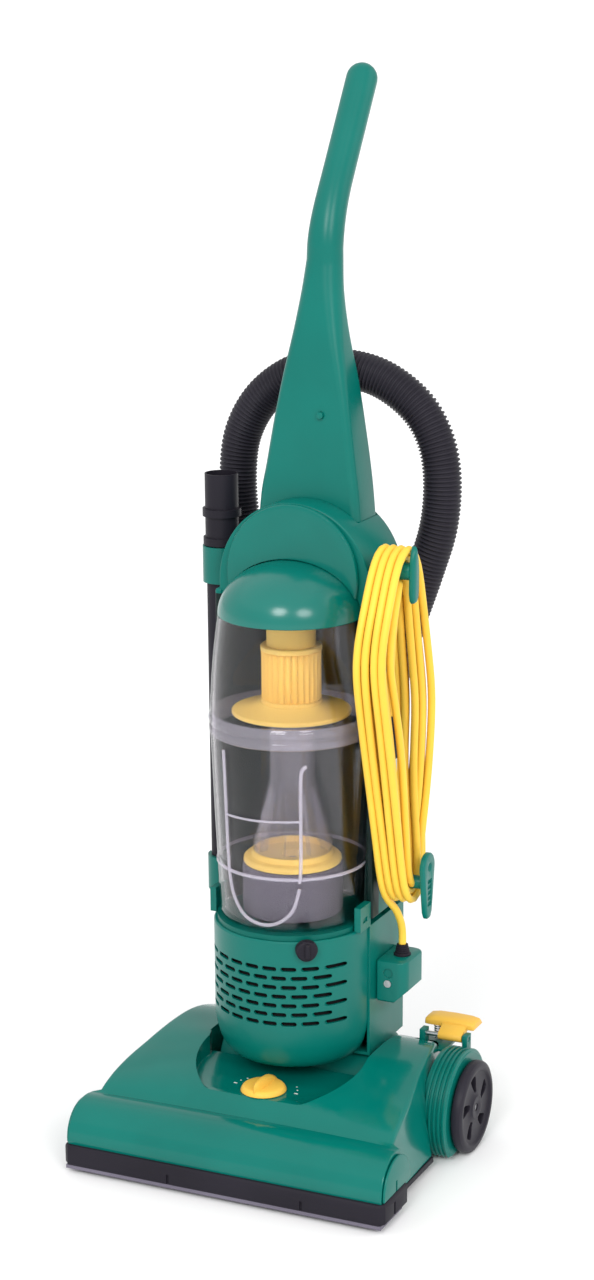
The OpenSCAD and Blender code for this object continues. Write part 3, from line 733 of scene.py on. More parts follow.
# y, half width at the bottom, half width at the ridge, ridge height, crown, edge radius
HOOD_STATIONS = [(-129, 168.5, 167, 73, 3, 4), (-118, 168, 166, 79.5, 6.5, 5),
    (-100, 167.5, 164.5, 86, 9.5, 5), (-75, 167, 161.5, 92.5, 11.5, 5), (-50, 166.5, 157, 98, 12, 5),
    (-25, 166, 152, 104, 10.5, 5), (0, 165, 148, 108, 6, 5), (30, 161, 143, 110, 2.5, 5),
    (58, 155, 138, 106, 1.5, 6), (82, 150, 132, 95, 1, 6), (93.6, 146, 128, 71, 1, 6)]


def hood_ring(y, low, top, ridge, crown, edge, inset):
    """Cross-section of the hood: leaning sides, rounded ridges and a crowned top."""
    low, top, ridge, z0 = low - inset, top - inset, ridge - inset, HOOD_LOW - 3 * (inset > 0)
    edge = min(edge, 0.45 * (ridge - z0))
    side = Vector((top - low, ridge - z0)).normalized()
    corner = Vector((top, ridge))
    start = corner - edge * side
    end_x = top - edge
    end = Vector((end_x, ridge + crown * (1 - (end_x / top) ** 2)))
    half = [(low, z0), tuple(Vector((low, z0)).lerp(start, 0.5))]
    for k in range(7):
        t = k / 6
        p = (1 - t) ** 2 * start + 2 * t * (1 - t) * corner + t * t * end
        half.append((p.x, p.y))
    half += [(x, ridge + crown * (1 - (x / top) ** 2)) for x in (end_x * (1 - k / 8) for k in range(1, 9))]
    return [(x, y, z) for x, z in half] + [(-x, y, z) for x, z in half[-2::-1]]


def hood_form(inset):
    """The hood as a solid: the round brush housing in front, a crease and the main hood behind it."""
    cy, cz, reach, rise = BULGE
    front = [(cy - reach * cos(radians(t)), 176.8, 176.8 - 0.012 * t, cz + rise * sin(radians(t)), 0.02 * t,
        1.2) for t in range(0, 91, 6)]
    front += [(-143, 176.8, 175.6, 72, 2, 1.2), (-138, 176.8, 175.6, 71.3, 2.2, 1.5),
        (-133, 176.8, 175.6, 70.4, 2.2, 1.5)]
    stations = curve_through(HOOD_STATIONS, 3)
    front_end = cy - reach
    rings = []
    for s in front + stations:
        y = max(s[0], front_end + inset) if s[0] < cy else min(s[0], HOOD_STATIONS[-1][0] - inset)
        rings.append(hood_ring(y, *s[1:], inset))
    return loft(rings)


def deck_form(grow):
    """What is taken away above the deck: the round dish and the room round the motor cover."""
    x, y, r = DISH
    low = DECK_Z - grow
    rings = []
    for z, out in ((low, -2.2), (low + 0.7, -0.6), (low + 2.2, 0), (220, 0)):
        rings.append([(*p, z) for p in arc(x, y, r + grow + out, 0, 357, 120)])
    return add(loft(rings), cylinder_z(SLOT_X + grow - 0.1, low + 0.02, 221, (0, COVER_Y), 128))


def make_hood():
    outer, inner = hood_form(0), hood_form(HOOD_WALL)
    for form, grow in ((outer, 0), (inner, HOOD_WALL)):
        cut(form, deck_form(grow))
        cut(form, block((-SLOT_X - grow, SLOT_Y - grow, -10), (SLOT_X + grow, 140, 220)))
    reach, inside = 61.2, 151.7      # room for the right wheel's housing
    hood = cut(outer, inner, cylinder_x(27, -120, 120, PIVOT[1:]),
        moved(cylinder_z(6.5, -30, 30, (0, 0), 32), along(DIAL_AXIS, DIAL)),
        cylinder_x(reach, inside, 210, AXLE[1:]), block((inside, AXLE[1] - reach, -10),
        (210, 140, AXLE[2])), block((112, 58, 99.8), (184, 120, 160)))
    shelf = block((113.9, 57, 96.5), (147, 88, 99.8))
    lug = cut(block((117, 60, 99), (123, 72, 117)), cylinder_x(PIN_HOLE_R, 110, 130, PEDAL[1:], 24))
    piece(hood, "hood", "foot", green_gloss, ["foot_hood"], 30)
    piece(bevel(join([shelf, lug]), 0.8, 2), "pedal_shelf", "foot", green_satin)


make_hood()


def make_bumper():
    low, high = box_mm("front_bumper")
    x, front, back = high.x, low.y, high.y
    chamfer, wall = 6, 3.6
    bumper = loft([[(-x + d, back, z), (-x + d, front + chamfer, z), (-x + chamfer, front + d, z),
        (x - chamfer, front + d, z), (x - d, front + chamfer, z), (x - d, back, z), (x - wall, back, z),
        (x - wall, -132, z), (x - wall, front + 5.2, z), (-x + wall, front + 5.2, z), (-x + wall, -132, z),
        (-x + wall, back, z)] for z, d in ((9, 1.2), (10.2, 0), (27, 0), (29.5, 0.6), (31, 1.8))])
    for nx in (-60, 90):
        bumper = cut(bumper, block((nx, front - 1, 8), (nx + 3, front + 2, 20)))
    for s in (-1, 1):
        bumper = cut(bumper, block((min(s * (x - 1.6), s * (x + 2)), -160, 8),
            (max(s * (x - 1.6), s * (x + 2)), -156, 24)))
    piece(bevel(bumper, 0.7, 2), "bumper", "foot", black_soft, ["front_bumper"])
    piece(mirrored(make_cap), "end_caps", "foot", green_satin, ["brush_end_caps"])


def make_cap():
    """D-shaped cover at the end of the brush housing, with a slot for its release."""
    high = box_mm("brush_end_caps")[1]
    outline = [(-181, 31.6)] + arc(-147.5, 35, 33.5, 175, 8, 24) + [(-113.5, 31.6)]
    cap = bevel(prism(outline, 177.0, high.x, "x"), 1.1, 3)
    cut(cap, block((high.x - 1.4, -152, 31), (high.x + 3, -148.5, 44)))
    return cap


make_bumper()


def ring_about_axle(profile):
    """A closed profile of (x, radius) turned about the rear axle."""
    return loft([[(x, AXLE[1] + q * cos(a), AXLE[2] + q * sin(a)) for x, q in profile]
        for a in around(120)], closed=True)


def make_guard():
    """Ribbed housing of the right rear wheel with the outer lug of the pedal pin."""
    r, x_low, x_high, inner_r = 58, 152.0, 179.8, 50.2
    profile = [(x_low, r)]
    for i in range(5):
        x = 156 + 5 * i
        profile += [(x - 0.5, r), (x + 0.2, r + 2.3), (x + 2.2, r + 2.3), (x + 2.9, r)]
    profile += [(178.6, r), (x_high, r - 1.2), (x_high, inner_r), (176, inner_r), (155, inner_r),
        (x_low, inner_r)]
    shell = add(ring_about_axle(profile), cylinder_x(52, 152, 155, AXLE[1:]),
        cylinder_x(52, 176.2, x_high, AXLE[1:]))
    shell = cut(shell, block((-200, -60, -30), (200, 140, 6.6)), cylinder_x(8, -200, 200, AXLE[1:], 48))
    lug = cut(block((165.5, 60, 98), (171, 72, 117)), cylinder_x(PIN_HOLE_R, 160, 180, PEDAL[1:], 24),
        cylinder_x(55, 160, 180, AXLE[1:]))
    piece(join([shell, bevel(lug, 0.8, 2)]), "wheel_housing", "foot", green_satin,
        ["wheel_guard_right"])


def wheel_form():
    """Moulded wheel with a raised rim, a dished face with curved openings and a hub."""
    low, high = box_mm("rear_wheel_right")
    r, x0, x1 = high.z - AXLE[2], low.x, high.x
    profile = [(x0, 4.05), (x0, r - 3.5), (x0 + 1.6, r - 0.8), (x0 + 3.4, r), (x1 - 4.4, r),
        (x1 - 1.8, r - 1.2), (x1 - 0.4, r - 3.6), (x1, r - 6), (x1 - 0.2, r - 8.5), (x1 - 2.6, r - 10.5),
        (x1 - 3.4, r - 13), (x1 - 3.2, 22), (x1 - 2.2, 14.5), (x1 - 0.6, 12.4), (x1 - 0.4, 8),
        (x1 - 1.2, 5.6), (x1 - 1.2, 4.05)]
    disc = ring_about_axle(profile)
    for i in range(5):
        turn = radians(72 * i + 18)
        sides = [(17, 2.6, 0), (22, 4.2, 0.05), (28, 6.0, 0.11), (33, 6.8, 0.15), (35.5, 5.0, 0.17)]
        front = [(q, atan2(w, q) + lean) for q, w, lean in sides]
        back = [(q, -atan2(w, q) + lean) for q, w, lean in reversed(sides)]
        points = [(AXLE[1] + q * cos(a + turn), AXLE[2] + q * sin(a + turn)) for q, a in front + back]
        disc = cut(disc, prism(points, x0 - 2, x1 + 2, "x"))
    return bevel(disc, 0.6, 2, 40)


def make_wheels():
    right, left = wheel_form(), wheel_form()
    across = box_mm("rear_wheel_left")[1].x + box_mm("rear_wheel_right")[0].x
    moved(left, Matrix.Translation((across * MM, 0, 0)) @ Matrix.Scale(-1, 4, (1, 0, 0)))
    left.data.flip_normals()
    for wheel, side in ((right, "right"), (left, "left")):
        piece(wheel, "wheel_" + side, "rear_wheel_" + side, wheel_black,
            ["rear_wheel_" + side])


make_guard()
make_wheels()


def make_dial():
    """Round knob with a raised ridge that comes to a point."""
    base = revolve([(0.01, 1.5), (23.6, 1.5), (24, 2.1), (22.6, 5.2), (21.2, 6.8), (19.6, 7.5),
        (0.01, 7.7)], turns=80)
    rings = []
    for y, half, top in ((-22.6, 5.4, 7.2), (-21, 5.8, 10.2), (-12, 6, 14.2), (0, 5.6, 15.8), (12, 4.6, 16),
            (19, 2.6, 15.4), (22.6, 0.5, 13.6)):
        rings.append([(-half, y, 5), (half, y, 5), (half * 0.92, y, 5 + (top - 5) * 0.5),
            (half * 0.55, y, top - 0.9), (0, y, top), (-half * 0.55, y, top - 0.9),
            (-half * 0.92, y, 5 + (top - 5) * 0.5)])
    ridge = bevel(loft(rings), 0.8, 2, 50)
    stem = cylinder_z(6.2, -18, 2, (0, 0), 32)
    knob = moved(join([bevel(base, 0.4, 2, 40), ridge, stem]), along(DIAL_AXIS, DIAL))
    piece(knob, "height_knob", "height_dial", yellow_gloss, ["height_dial"], 40)
    # plain setting marks, longer at both ends of the range
    marks = []
    for a, size in ((172, 4.2), (158, 1.8), (144, 1.8), (36, 1.8), (22, 1.8), (8, 4.2)):
        at = (DIAL[0] + 35 * cos(radians(a)), DIAL[1] + 35 * sin(radians(a)))
        marks.append(prism(shift(round_rect(size, 1.6, 0.7, 3), *at), DECK_Z - 0.2, DECK_Z + 0.25))
    piece(join(marks), "setting_marks", "foot", mark_white)


make_dial()


def make_pedal():
    """Arched foot pedal on its hinge."""
    rings = []
    for x, drop, inset in ((116, 3.4, 1.5), (118, 1.9, 0.4), (126, 0.5, 0), (144, 0, 0), (162, 0.5, 0),
            (170, 1.9, 0.4), (172, 3.4, 1.5)):
        low, top = 117.2, 127 - drop
        rings.append([(x, 76.3 + inset, low), (x, 103.6 - inset, low), (x, 104 - inset, low + 1.2),
            (x, 100 - inset, top - 1.4), (x, 96, top - 0.3), (x, 84, top), (x, 79, top - 0.6),
            (x, 76 + inset, top - 3)])
    plate = bevel(loft(rings), 0.8, 2, 40)
    rings = []
    for x in (137, 164):
        rings.append([(x, 84, 118), (x, 76, 122)] + [(x, y, z) for y,
            z in arc(PEDAL[1], PEDAL[2], 5, 120, 330, 12)])
    hub = cut(bevel(loft(rings), 0.5, 2, 50), cylinder_x(PIN_HOLE_R, 100, 200, PEDAL[1:], 32))
    piece(join([plate, hub]), "pedal", "release_pedal", yellow_gloss, ["release_pedal"])


make_pedal()


def make_pedal_spring():
    """Coil spring under the pedal."""
    low, high = box_mm("pedal_spring")
    x, y = (low.x + high.x) / 2, (low.y + high.y) / 2
    wire_r, turns, steps = 0.75, 6, 24
    coil_r = (high.x - low.x) / 2 - wire_r
    rings = []
    for i in range(turns * steps + 1):
        a = 2 * pi * i / steps
        out = Vector((cos(a), sin(a), 0))
        centre = Vector((x, y, lerp(low.z + wire_r, high.z - wire_r, i / (turns * steps)))) + coil_r * out
        rings.append([centre + wire_r * (cos(t) * out + sin(t) * Vector((0, 0, 1))) for t in around(10)])
    spring = piece(loft(rings), "spring_coil", "foot", plain_steel, ["pedal_spring"])
    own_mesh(spring)


make_pedal_spring()


# ---- motor end

def make_cover():
    """Half-round front with rows of air slots, drawn in at the foot."""
    z0, z1, wall = cover_low.z, cover_high.z, 3.0

    def form(inset):
        profile = []
        for z, r in ((z0 + inset, COVER_R - 19), (z0 + inset + 2, COVER_R - 15), (z0 + 9, COVER_R - 9),
                (z0 + 18, COVER_R - 4.6), (z0 + 30, COVER_R - 1.6), (z0 + 44, COVER_R), (z1 - 8, COVER_R),
                (z1 - 1.5 * (inset == 0), COVER_R), (z1 - inset, COVER_R - 1.2 * (inset == 0))):
            profile.append((r - inset, z))
        back = cover_high.y + (5 if inset else 0)
        rings = []
        for r, z in profile:
            depth = back - COVER_Y
            start = degrees(asin(depth / r))
            rings.append([(x, y, z) for x, y in arc(0, COVER_Y, r, 180 - start, 360 + start, 97)])
        return loft(rings)

    cover = cut(form(0), form(wall))
    cutters = []
    for row in range(7):
        count = 8 - row % 2
        for i in range(count):
            x = (i - (count - 1) / 2) * 19.5
            outline = shift(round_rect(15.4, 4.7, 2.2, 4), x, 220 - 10 * row)
            cutters.append(prism(outline, -120, COVER_Y - 8, "y"))
    cut(cover, join(cutters))
    piece(cover, "vent_cover", "upright", green_satin, ["motor_cover"], 28)


make_cover()


def make_latch():
    """Shield-shaped knob with a finger ridge."""
    outline = []
    for a in around(40):
        r = 11.4 - 1.3 * max(0, cos(a - pi / 2)) ** 2 + 0.9 * max(0, -sin(a)) ** 3
        outline.append((r * cos(a), r * sin(a)))
    knob = loft([[(x * f, y * f, z) for x, y in outline] for z,
        f in ((-1.5, 0.9), (0, 1.0), (5, 1.0), (7.2, 0.93), (8.2, 0.8))])
    ridge = bevel(block((-2.4, -8, 7), (2.4, 8, 11.6)), 1.6, 3)
    knob = moved(join([bevel(knob, 0.3, 2), ridge]), along(LATCH_AXIS, LATCH))
    piece(knob, "latch_knob", "cup_latch", black_soft, ["cup_latch"])


make_latch()


# ---- dust cup

CUP_FOOT_R = 76.0         # the clear lower cup's radius at its foot


def on_cup(profile, turns=128):
    """A profile of (radius, height) turned about the cup's axis."""
    return revolve(profile, (0, CUP_Y), turns)


def in_cup(obj, name, material, slot, *replaces, angle=32):
    """A piece that rides on the dust cup."""
    return piece(obj, name, "dust_cup", material, replaces, angle)


def cup_radius(z):
    """Outer radius of the clear lower cup at a height."""
    return lerp(CUP_FOOT_R, CUP_R - 1.5, (z - (CUP_Z + 6)) / (BAND_Z - 11 - CUP_Z - 6))


def cup_rib(path, r, lift=0.3):
    """A moulded rib on the cup's wall along (degrees from the front, height) points."""
    fine = curve_through(path, 8)
    rings = []
    for i, (a, z) in enumerate(fine):
        turn = radians(a)
        out = Vector((sin(turn), -cos(turn), 0))
        q = cup_radius(z) + lift
        here = Vector((0, CUP_Y, z)) + out * q
        j, k = min(i + 1, len(fine) - 1), max(i - 1, 0)
        ahead = (radians(fine[j][0] - fine[k][0]) * q, fine[j][1] - fine[k][1])
        size = hypot(*ahead) or 1
        tangent = Vector((cos(turn), sin(turn), 0)) * (ahead[0] / size) + Vector((0, 0, ahead[1] / size))
        side = tangent.cross(out)
        rings.append([here + r * (cos(t) * side + 0.9 * sin(t) * out) for t in around(10)])
    return loft(rings)


def make_cup():
    wall, top = 2.4, BAND_Z - 11
    profile = shift([(0.01, 0), (66, 0), (70.5, 0.8), (74.2, 3), (CUP_FOOT_R, 6)], 0, CUP_Z)
    profile += [(CUP_R - 1.5, top), (CUP_R - 1.5 - wall, top)]
    profile += shift([(CUP_FOOT_R - wall, 7.5), (71.5, 4.4), (66, 2.6), (0.01, 2.6)], 0, CUP_Z)
    in_cup(on_cup(profile), "clear_cup", clear_cup, "clear_plastic", "cup_lower")

    ring_z = 316
    hoop = on_cup(shift([(-0.6, -2.5), (0.9, -1.4), (0.9, 0.4), (-0.6, 1.5)], cup_radius(ring_z), ring_z))
    ribs = [cup_rib([(-31, 444), (-31, 400), (-31, 340), (-30, 312), (-26, 290), (-15, 272), (0, 265.5),
        (14, 269), (25, 283), (30, 306)], 1.9), cup_rib([(30, 312), (31, 330), (31, 380), (31, 420),
        (32, 432), (35, 436)], 1.9), cup_rib([(-30, 376), (-15, 376.5), (0, 377), (15, 377.5), (30, 378)],
        1.3)]
    in_cup(join(ribs + [hoop]), "cup_ribs", clear_rib, "clear_plastic")

    rings = on_cup(shift([(-3.6, -10.9), (-1.6, -10.9), (-0.4, -9.8), (0, -8.2), (0, -4.4), (-0.5, -3.2),
        (-2, -2), (-2, -0.5), (-0.6, 0.6), (0.3, 2), (0.3, 6.4), (-0.4, 8), (-1.6, 9.4), (-2, 10.9),
        (-4, 10.9)], CUP_R, BAND_Z))
    in_cup(rings, "cup_rings", clear_edge, "clear_plastic", "cup_band")

    outer = [(lerp(CUP_R - 1.4, RIM_R, t) + 1.4 * sin(pi * t), lerp(BAND_Z + 11, RIM_Z - 0.1, t))
        for t in (k / 8 for k in range(9))]
    in_cup(on_cup(outer + shift(outer[::-1], -2.4, 0)), "clear_upper", clear_cup, "clear_plastic",
        "cup_upper")

    # green dome with a rolled rim
    def dome(r, rise, low, angles):
        return [(max(0.01, r * cos(radians(t))), low + rise * sin(radians(t))) for t in angles]

    profile = [(RIM_R - 2.8, RIM_Z), (RIM_R - 0.7, RIM_Z), (RIM_R, RIM_Z + 0.8)]
    profile += dome(RIM_R, DOME_H - 1, RIM_Z + 1, range(3, 91, 3))
    profile += dome(RIM_R - 2.8, DOME_H - 3, RIM_Z, range(90, 0, -3))
    in_cup(on_cup(profile), "dome", green_dome, "green_trim", "dome_lid")


make_cup()


def make_filter():
    low, high = box_mm("pleated_filter")
    pleats = 30
    inner_r, outer_r = 26.5, 30.6
    rings = []
    for z, pinch in ((484, 0.4), (484.6, 0), (537.4, 0), (538, 0.4)):
        ring = []
        for a in around(pleats * 8):
            wave = abs(cos(pleats * a / 2)) ** 0.55
            q = lerp(inner_r, outer_r, 1 - wave) - pinch
            ring.append((q * cos(a), CUP_Y + q * sin(a), z))
        rings.append(ring)
    paper = loft(rings)
    collars = [on_cup([(16, z0), (q, z0), (q, z1 - 1), (q - 1, z1), (16, z1)], 72) for q, z0,
        z1 in ((31.2, low.z, 485.5), (31.2, 536.5, 541.5), (25, 541.5, high.z))]
    paper = cut(paper, cylinder_z(20, 400, 600, (0, CUP_Y)))
    in_cup(join([paper] + collars), "pleats", yellow_filter, "filter_yellow", "pleated_filter", angle=40)

    low, high = box_mm("filter_flange")
    profile = shift([(20, 0), (57, 0), (60.5, 0.6), (61, 1.6), (61, 3.6), (60, 4.8), (54, 5.4), (50, 6.2),
        (38, 9), (33, 11.4)], 0, low.z) + [(32, high.z), (20, high.z)]
    in_cup(on_cup(profile, 96), "flange", yellow_filter, "filter_yellow", "filter_flange")

    # clear separator: a tube that opens into a cone, with fins inside the cone
    low, high = box_mm("cyclone_cone")
    cone = on_cup([(22.2, high.z), (24, high.z), (24, 402), (25, 396), (40.4, 338), (41, 334), (41, low.z),
        (39, low.z), (39, 334), (23.2, 395), (22.2, 402)], 96)
    for i in range(8):
        fin = prism([(20.5, 388), (24.6, 388), (39.9, 334), (39.9, 326.5), (30, 326.5)], -0.8, 0.8, "y")
        add(cone, turned(fin, radians(45 * i + 10), 0, CUP_Y))
    in_cup(cone, "separator_cone", clear_inner, "clear_plastic", "cyclone_cone")

    low, high = box_mm("separator_disc")
    profile = shift([(12, 0), (48, 0), (50.4, 0.8), (51, 2.4), (50.6, 5), (49, 6.6), (45, 7.2), (43, 8),
        (41.8, 12.6)], 0, low.z)
    profile += [(40.4, high.z), (38.6, high.z)] + shift([(37.4, 12), (36.6, 8), (12, 7.4)], 0, low.z)
    in_cup(on_cup(profile, 96), "disc", yellow_filter, "filter_yellow", "separator_disc")

    low, high = box_mm("lower_filter")
    profile = shift([(0.01, 0), (50, 0), (51.6, 1.4), (52, 4)], 0, low.z)
    profile += shift([(52, -5), (51.6, -2), (50, 0), (0.01, 0)], 0, high.z)
    in_cup(on_cup(profile, 96), "foam_filter", dark_foam, "filter_foam", "lower_filter")


make_filter()


# ---- upper body

ARCH_Z = 600              # centre of the round top of the body
PLATE_Z = 611             # centre of the round plate above the cup


def pocket_form(grow):
    """Space that the cup and its dome take out of the body."""
    profile = [(0.01, CUP_Z - 6), (70 + grow, CUP_Z - 6), (76.5 + grow, CUP_Z + 6),
        (CUP_R - 1.5 + grow, BAND_Z - 13), (CUP_R + 0.4 + grow, BAND_Z - 11),
        (CUP_R + 0.4 + grow, BAND_Z + 11), (CUP_R + 0.2 + grow, BAND_Z + 30), (RIM_R + 0.4 + grow, RIM_Z)]
    profile += [((RIM_R + grow) * cos(radians(t)), RIM_Z + (DOME_H + grow) * sin(radians(t)))
        for t in range(5, 91, 5)]
    profile[-1] = (0.01, RIM_Z + DOME_H + grow)
    return on_cup(profile)


def arch(r, z0, z1, n=40):
    """Outline in (x, z): a block with a half-round top."""
    return [(-r, z0), (r, z0)] + arc(0, z1, r, 0, 180, n)


def make_spine():
    low, high = box_mm("body_spine")
    r, back = high.z - ARCH_Z, high.y
    body = loft([[(x, y, z) for x, z in arch(r - d, low.z, ARCH_Z)] for y,
        d in ((2, 1.6), (2.6, 0.6), (4, 0), (back - 6, 0), (back - 2.6, 1.0), (back - 0.8, 3.0),
        (back, 6))])
    sides = [bevel(block((min(s * 80, s * 88), 0, low.z), (max(s * 80, s * 88), 82, 590)), 2.4, 3)
        for s in (-1, 1)]
    add(body, *sides)
    hollow = loft([[(x, y, z) for x, z in arch(r - 3, low.z - 5, ARCH_Z)] for y in (5, back - 3)])
    hollow = cut(hollow, pocket_form(3.6), block((-60, 30, 637), (60, 90, 700)))
    cut(body, pocket_form(0.9), hollow, block((-56.4, 33.4, 640), (56.4, 87.6, 700)))
    piece(body, "body_shell", "upright", green_body, ["body_spine"], 30)

    disc = loft([[(q * cos(t), y, PLATE_Z + q * sin(t)) for t in around(128)] for y,
        q in ((1.7, 71.4), (1.2, 72), (-2.6, 72), (-3.9, 71.2), (-4.3, 69.6), (-4.3, 60))])
    piece(cut(disc, pocket_form(0.9)), "round_plate", "upright", green_gloss,
        ["badge_plate"], 26)


make_spine()


# Handle stations repeated from part.scad: height, half width, front y, rear y
HANDLE_STATIONS = [(640.2, 57.5, 34, 87), (684, 54, 35, 87), (715, 49, 38, 90), (750, 43.5, 41, 90.5),
    (780, 38.5, 44, 91), (806, 34, 47, 91), (830, 29.5, 50, 90), (855, 25.5, 54, 90), (885, 21.5, 59, 92),
    (915, 18.7, 65, 97)]
GRIP_START = (82, 948)
GRIP_END = (172, 1084)
GRIP_R = 16
HANDLE_SCREW = (12, 766)  # x, z
SWITCH_Z = 714


def make_handle():
    lean = atan2(GRIP_END[0] - GRIP_START[0], GRIP_END[1] - GRIP_START[1])
    length = dist(GRIP_START, GRIP_END)
    rings = []
    for z, half, front, rear in curve_through(HANDLE_STATIONS, 4):
        depth = rear - front
        r = lerp(8.5, 16.5, smooth_step((z - 760) / 155))
        ring = round_rect(2 * half, depth, min(r, half - 0.05, depth / 2 - 0.05), 12)
        rings.append([(x, (front + rear) / 2 + y, z) for x, y in ring])
    # the tube turns from upright to the grip's lean along a smooth bend, then runs straight to its round end
    along_grip = Vector(GRIP_END) - Vector(GRIP_START)
    bend = (Vector((81.2, 922)), Vector(GRIP_START), Vector(GRIP_START) + along_grip * 0.30)
    centre = [((1 - t) ** 2 * bend[0] + 2 * t * (1 - t) * bend[1] + t * t * bend[2], lean * smooth_step(t))
        for t in (k / 14 for k in range(1, 15))]
    centre += [(Vector(GRIP_START) + along_grip * t, lean) for t in (0.4, 0.55, 0.7, 0.85, 1)]
    for i, (c, a) in enumerate(centre):
        eased = smooth_step(min(1, i / 15))
        wide, deep = lerp(18.4, GRIP_R, eased), lerp(16.3, GRIP_R, eased)
        outline = round_rect(2 * wide, 2 * deep, deep - 0.02, 12)
        rings.append([(x, c.x + y * cos(a), c.y - y * sin(a)) for x, y in outline])
    for a in (15, 30, 45, 60, 73, 82):
        q = GRIP_R * cos(radians(a))
        past = GRIP_R * sin(radians(a)) / length
        cy = GRIP_START[0] + (GRIP_END[0] - GRIP_START[0]) * (1 + past)
        cz = GRIP_START[1] + (GRIP_END[1] - GRIP_START[1]) * (1 + past)
        rings.append([(x, cy + y * cos(lean), cz - y * sin(lean)) for x,
            y in round_rect(2 * q, 2 * q, q - 0.005, 12)])
    handle = loft(rings)
    screw_well = prism(arc(*HANDLE_SCREW, 3.6, 0, 350, 24), 30, 46.5, "y")
    switch_well = prism(shift(round_rect(18.6, 28, 2), 0, SWITCH_Z), 80, 100, "y")
    cut(handle, screw_well, switch_well)
    screw_cap = bevel(prism(arc(*HANDLE_SCREW, 3.45, 0, 350, 24), 38.7, 46, "y"), 0.4, 2, 40)
    piece(screw_cap, "screw_cap", "upright", green_satin)
    piece(handle, "handle_shell", "upright", green_satin, ["handle"], 40)


make_handle()


# ---- cord hooks and cord clamp

def make_hooks():
    """Upper hook: a stem and a knife-shaped blade. Lower hook: a swivelling blade, dished and ribbed."""
    low, high = box_mm("cord_hook_upper")
    y, z = HANK_LOBES[0][0], HANK_LOBES[0][1]
    stem = cylinder_x(8.8, low.x, 129.2, (y, z), 48)
    outline = [(-3, low.z), (3.5, low.z + 0.4), (6.4, low.z + 4), (8, low.z + 12), (8, z + 2),
        (6.4, z + 13), (3.4, z + 21), (0.4, high.z), (-3.5, z + 20), (-6.6, z + 11), (-8, z),
        (-8, low.z + 10), (-6.4, low.z + 3)]
    rings = []
    for x, f in ((128.9, 0.9), (129.8, 1), (133.2, 0.94), (134.5, 0.72)):
        rings.append([(x, y + py * f, z + (pz - z) * lerp(1, f, 0.35)) for py, pz in outline])
    blade = bevel(loft(rings), 0.5, 2, 40)
    piece(join([bevel(stem, 0.6, 2), blade]), "hook_upper", "upright", green_satin,
        ["cord_hook_upper"], 40)

    low, high = box_mm("cord_hook_lower")
    y, z = HANK_LOBES[3][0], HANK_LOBES[3][1]
    stem = cylinder_x(6.9, low.x, 136.3, (y, z), 48)
    top, foot = z + 18, z - 30
    half = 15
    outline = arc(0, top, half, -15, 195, 22) + [(-11, z - 10), (-7, foot - 2), (-3.5, low.z + 0.4),
        (0, low.z), (3.5, low.z + 0.4), (7, foot - 2), (11, z - 10)]
    rings = []
    for x, f in ((136, 0.92), (136.9, 1), (140.6, 1), (141.7, 0.93), (142, 0.86)):
        rings.append([(x, y + py * f, lerp(z, pz, lerp(1, f, 0.4))) for py, pz in outline])
    blade = loft(rings)
    dish = moved(revolve([(0.01, -2.6), (2.6, -2.2), (4.6, -0.6), (5.6, 1.5), (0.01, 1.5)], turns=48),
        along((1, 0, 0), (high.x, y, top)))
    channel = block((high.x - 2.2, y - 5.4, foot + 6), (high.x + 2, y + 5.4, z + 5))
    cut(blade, dish, bevel(channel, 1.2, 2))
    ribs = [block((high.x - 2.4, y - 5.6, foot + 10 + 6 * i), (high.x - 0.9, y + 5.6, foot + 12 + 6 * i))
        for i in range(4)]
    piece(join([bevel(stem, 0.6, 2), bevel(blade, 0.4, 2, 40)] + ribs), "hook_lower", "cord_hook",
        green_satin, ["cord_hook_lower"], 40)


def make_clamp():
    """Box that holds the cord's exit: round outer corners, a chamfer below and a screw in front."""
    low, high = box_mm("cord_clamp")
    r = 11
    outline = [(low.x, high.y), (low.x, low.y + 2)] + [(low.x + 2, low.y)] + arc(high.x - r, low.y + r, r,
        -90, 0, 12)
    outline += arc(high.x - r, high.y - r, r, 0, 90, 12)
    body = loft([[(x + d * (1 if x < 100 else -1) * 0.7, lerp(y, (low.y + high.y) / 2, d / 30), z) for x,
        y in outline] for z, d in ((low.z, 1.4), (low.z + 1.4, 0), (high.z - 2, 0), (high.z - 0.6, 0.7),
        (high.z, 2))])
    chamfer = loft([[(x, y, z) for x, z in ((high.x - 15, low.z - 1), (high.x + 2, low.z + 15),
        (high.x + 2, low.z - 1))] for y in (low.y - 2, high.y + 2)])
    cut(body, chamfer, prism(arc(100, 194, 5.2, 0, 350, 32), low.y - 2, low.y + 1.6, "y"),
        cylinder_z(7.05, low.z + 30, high.z + 2, (LEAD_POINTS[0][0], LEAD_POINTS[0][1])))
    piece(body, "clamp_box", "upright", green_satin, ["cord_clamp"], 34)


make_hooks()
make_clamp()


# ---- CAD nodes that are shown as they are

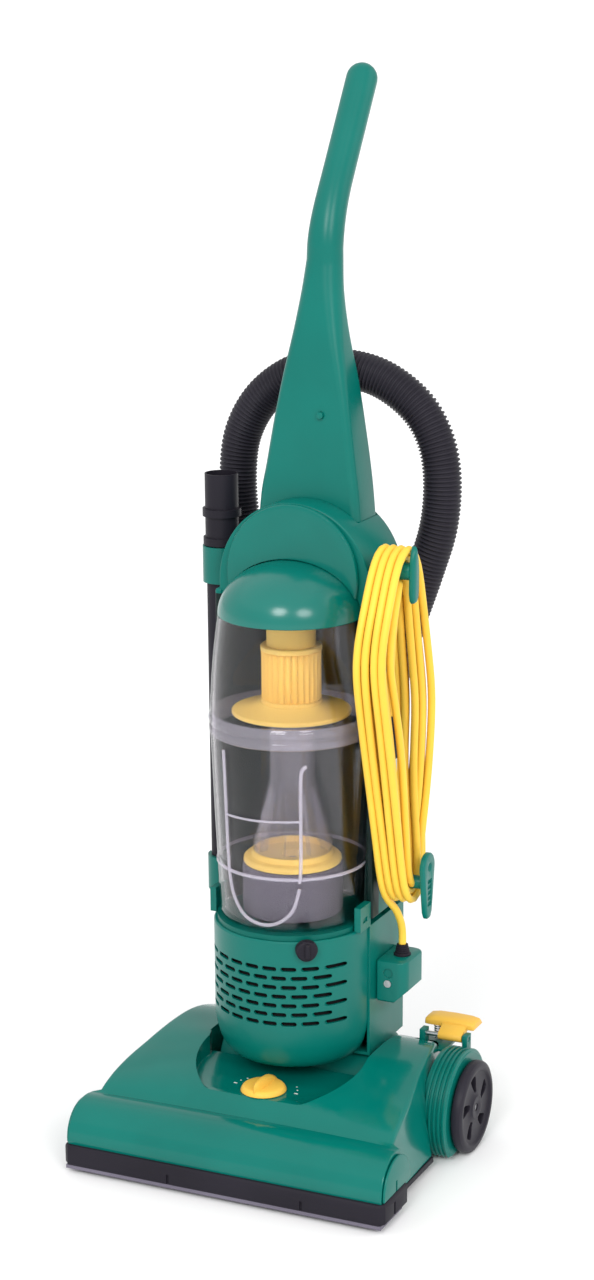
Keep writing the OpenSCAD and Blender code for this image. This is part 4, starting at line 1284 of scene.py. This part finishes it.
# node: its material and how far its edges are rounded, in millimetres
CAD_FINISH = {"sole_plate": (black_grain, 0.8), "nozzle_lip": (grey_lip, 0.6),
    "belt_guard": (green_trim, 0.6), "foot_screws": (plain_steel, 0.4), "pivot_bushes": (bush_grey, 0.5),
    "wheel_well_left": (green_trim, 0.5), "rear_axles": (plain_steel, 0.4),
    "wheel_carriage": (green_trim, 0.6), "front_rollers": (wheel_black, 0.8),
    "pedal_pin": (plain_steel, 0.3), "brush_roll": (brush_core, 0.6), "brush_bristles": (bristle_white, 0),
    "brush_bearings": (plain_steel, 0.3), "drive_belt": (belt_black, 0.3),
    "motor_housing": (green_satin, 1.6), "exhaust_filter": (dark_felt, 0.4),
    "motor_stator": (motor_steel, 0.4), "motor_shaft": (plain_steel, 0.3), "fan": (grey_lip, 0.3),
    "cup_platform": (green_trim, 0.8), "power_switch": (black_grain, 1.0), "air_duct": (green_trim, 1.2),
    "hose_hook": (green_satin, 1.0), "tool_clips": (green_satin, 0.8), "tool_cuff": (black_grain, 0.8),
    "tool_wand": (black_soft, 0.6), "body_screws": (plain_steel, 0.3)}


def finish_cad():
    for name, (material, width) in CAD_FINISH.items():
        obj = frame["nodes"][name]
        obj.data.materials.clear()
        obj.data.materials.append(material)
        if width:
            soften(obj, width, angle=35)


finish_cad()


# ---- room

def make_stage():
    size = 250.0             # from the middle to an edge, in metres
    mesh = bpy.data.meshes.new("floor")
    mesh.from_pydata([(-size, -size, 0), (size, -size, 0), (size, size, 0), (-size, size, 0)], [],
        [(0, 1, 2, 3)])
    floor = add_object("floor", mesh)
    material, nodes, links, shader = new_material("floor_white")
    links.new(ramp_between(nodes, links, noise(nodes, links, 2.5), (0.945, 0.945, 0.948),
        (0.955, 0.955, 0.955)), shader.inputs["Base Color"])
    setting(shader, Roughness=0.85)
    mesh.materials.append(material)

    def sun(name, azimuth, elevation, width, strength):
        """A soft round light, seen from the machine at an azimuth from the front towards +X."""
        data = bpy.data.lights.new(name, "SUN")
        data.angle = radians(width)
        data.energy = strength
        a, e = radians(azimuth), radians(elevation)
        towards = Vector((sin(a) * cos(e), -cos(a) * cos(e), sin(e)))
        add_object(name, data).rotation_euler = towards.to_track_quat("Z", "Y").to_euler()

    sun("left_softbox", 4, 36, 20, 1.05)
    sun("right_softbox", 48, 32, 20, 0.85)
    sun("side_softbox", 118, 30, 40, 0.3)
    sun("ceiling", -60, 72, 90, 0.35)

    world = bpy.data.worlds.new("studio")
    bpy.context.scene.world = world
    world.use_nodes = True
    setting(world.node_tree.nodes["Background"], Color=(1, 1, 1, 1), Strength=0.8)
    view = bpy.context.scene.view_settings
    view.view_transform = "Standard"
    view.look = "None"
    view.exposure = 0.0


make_stage()
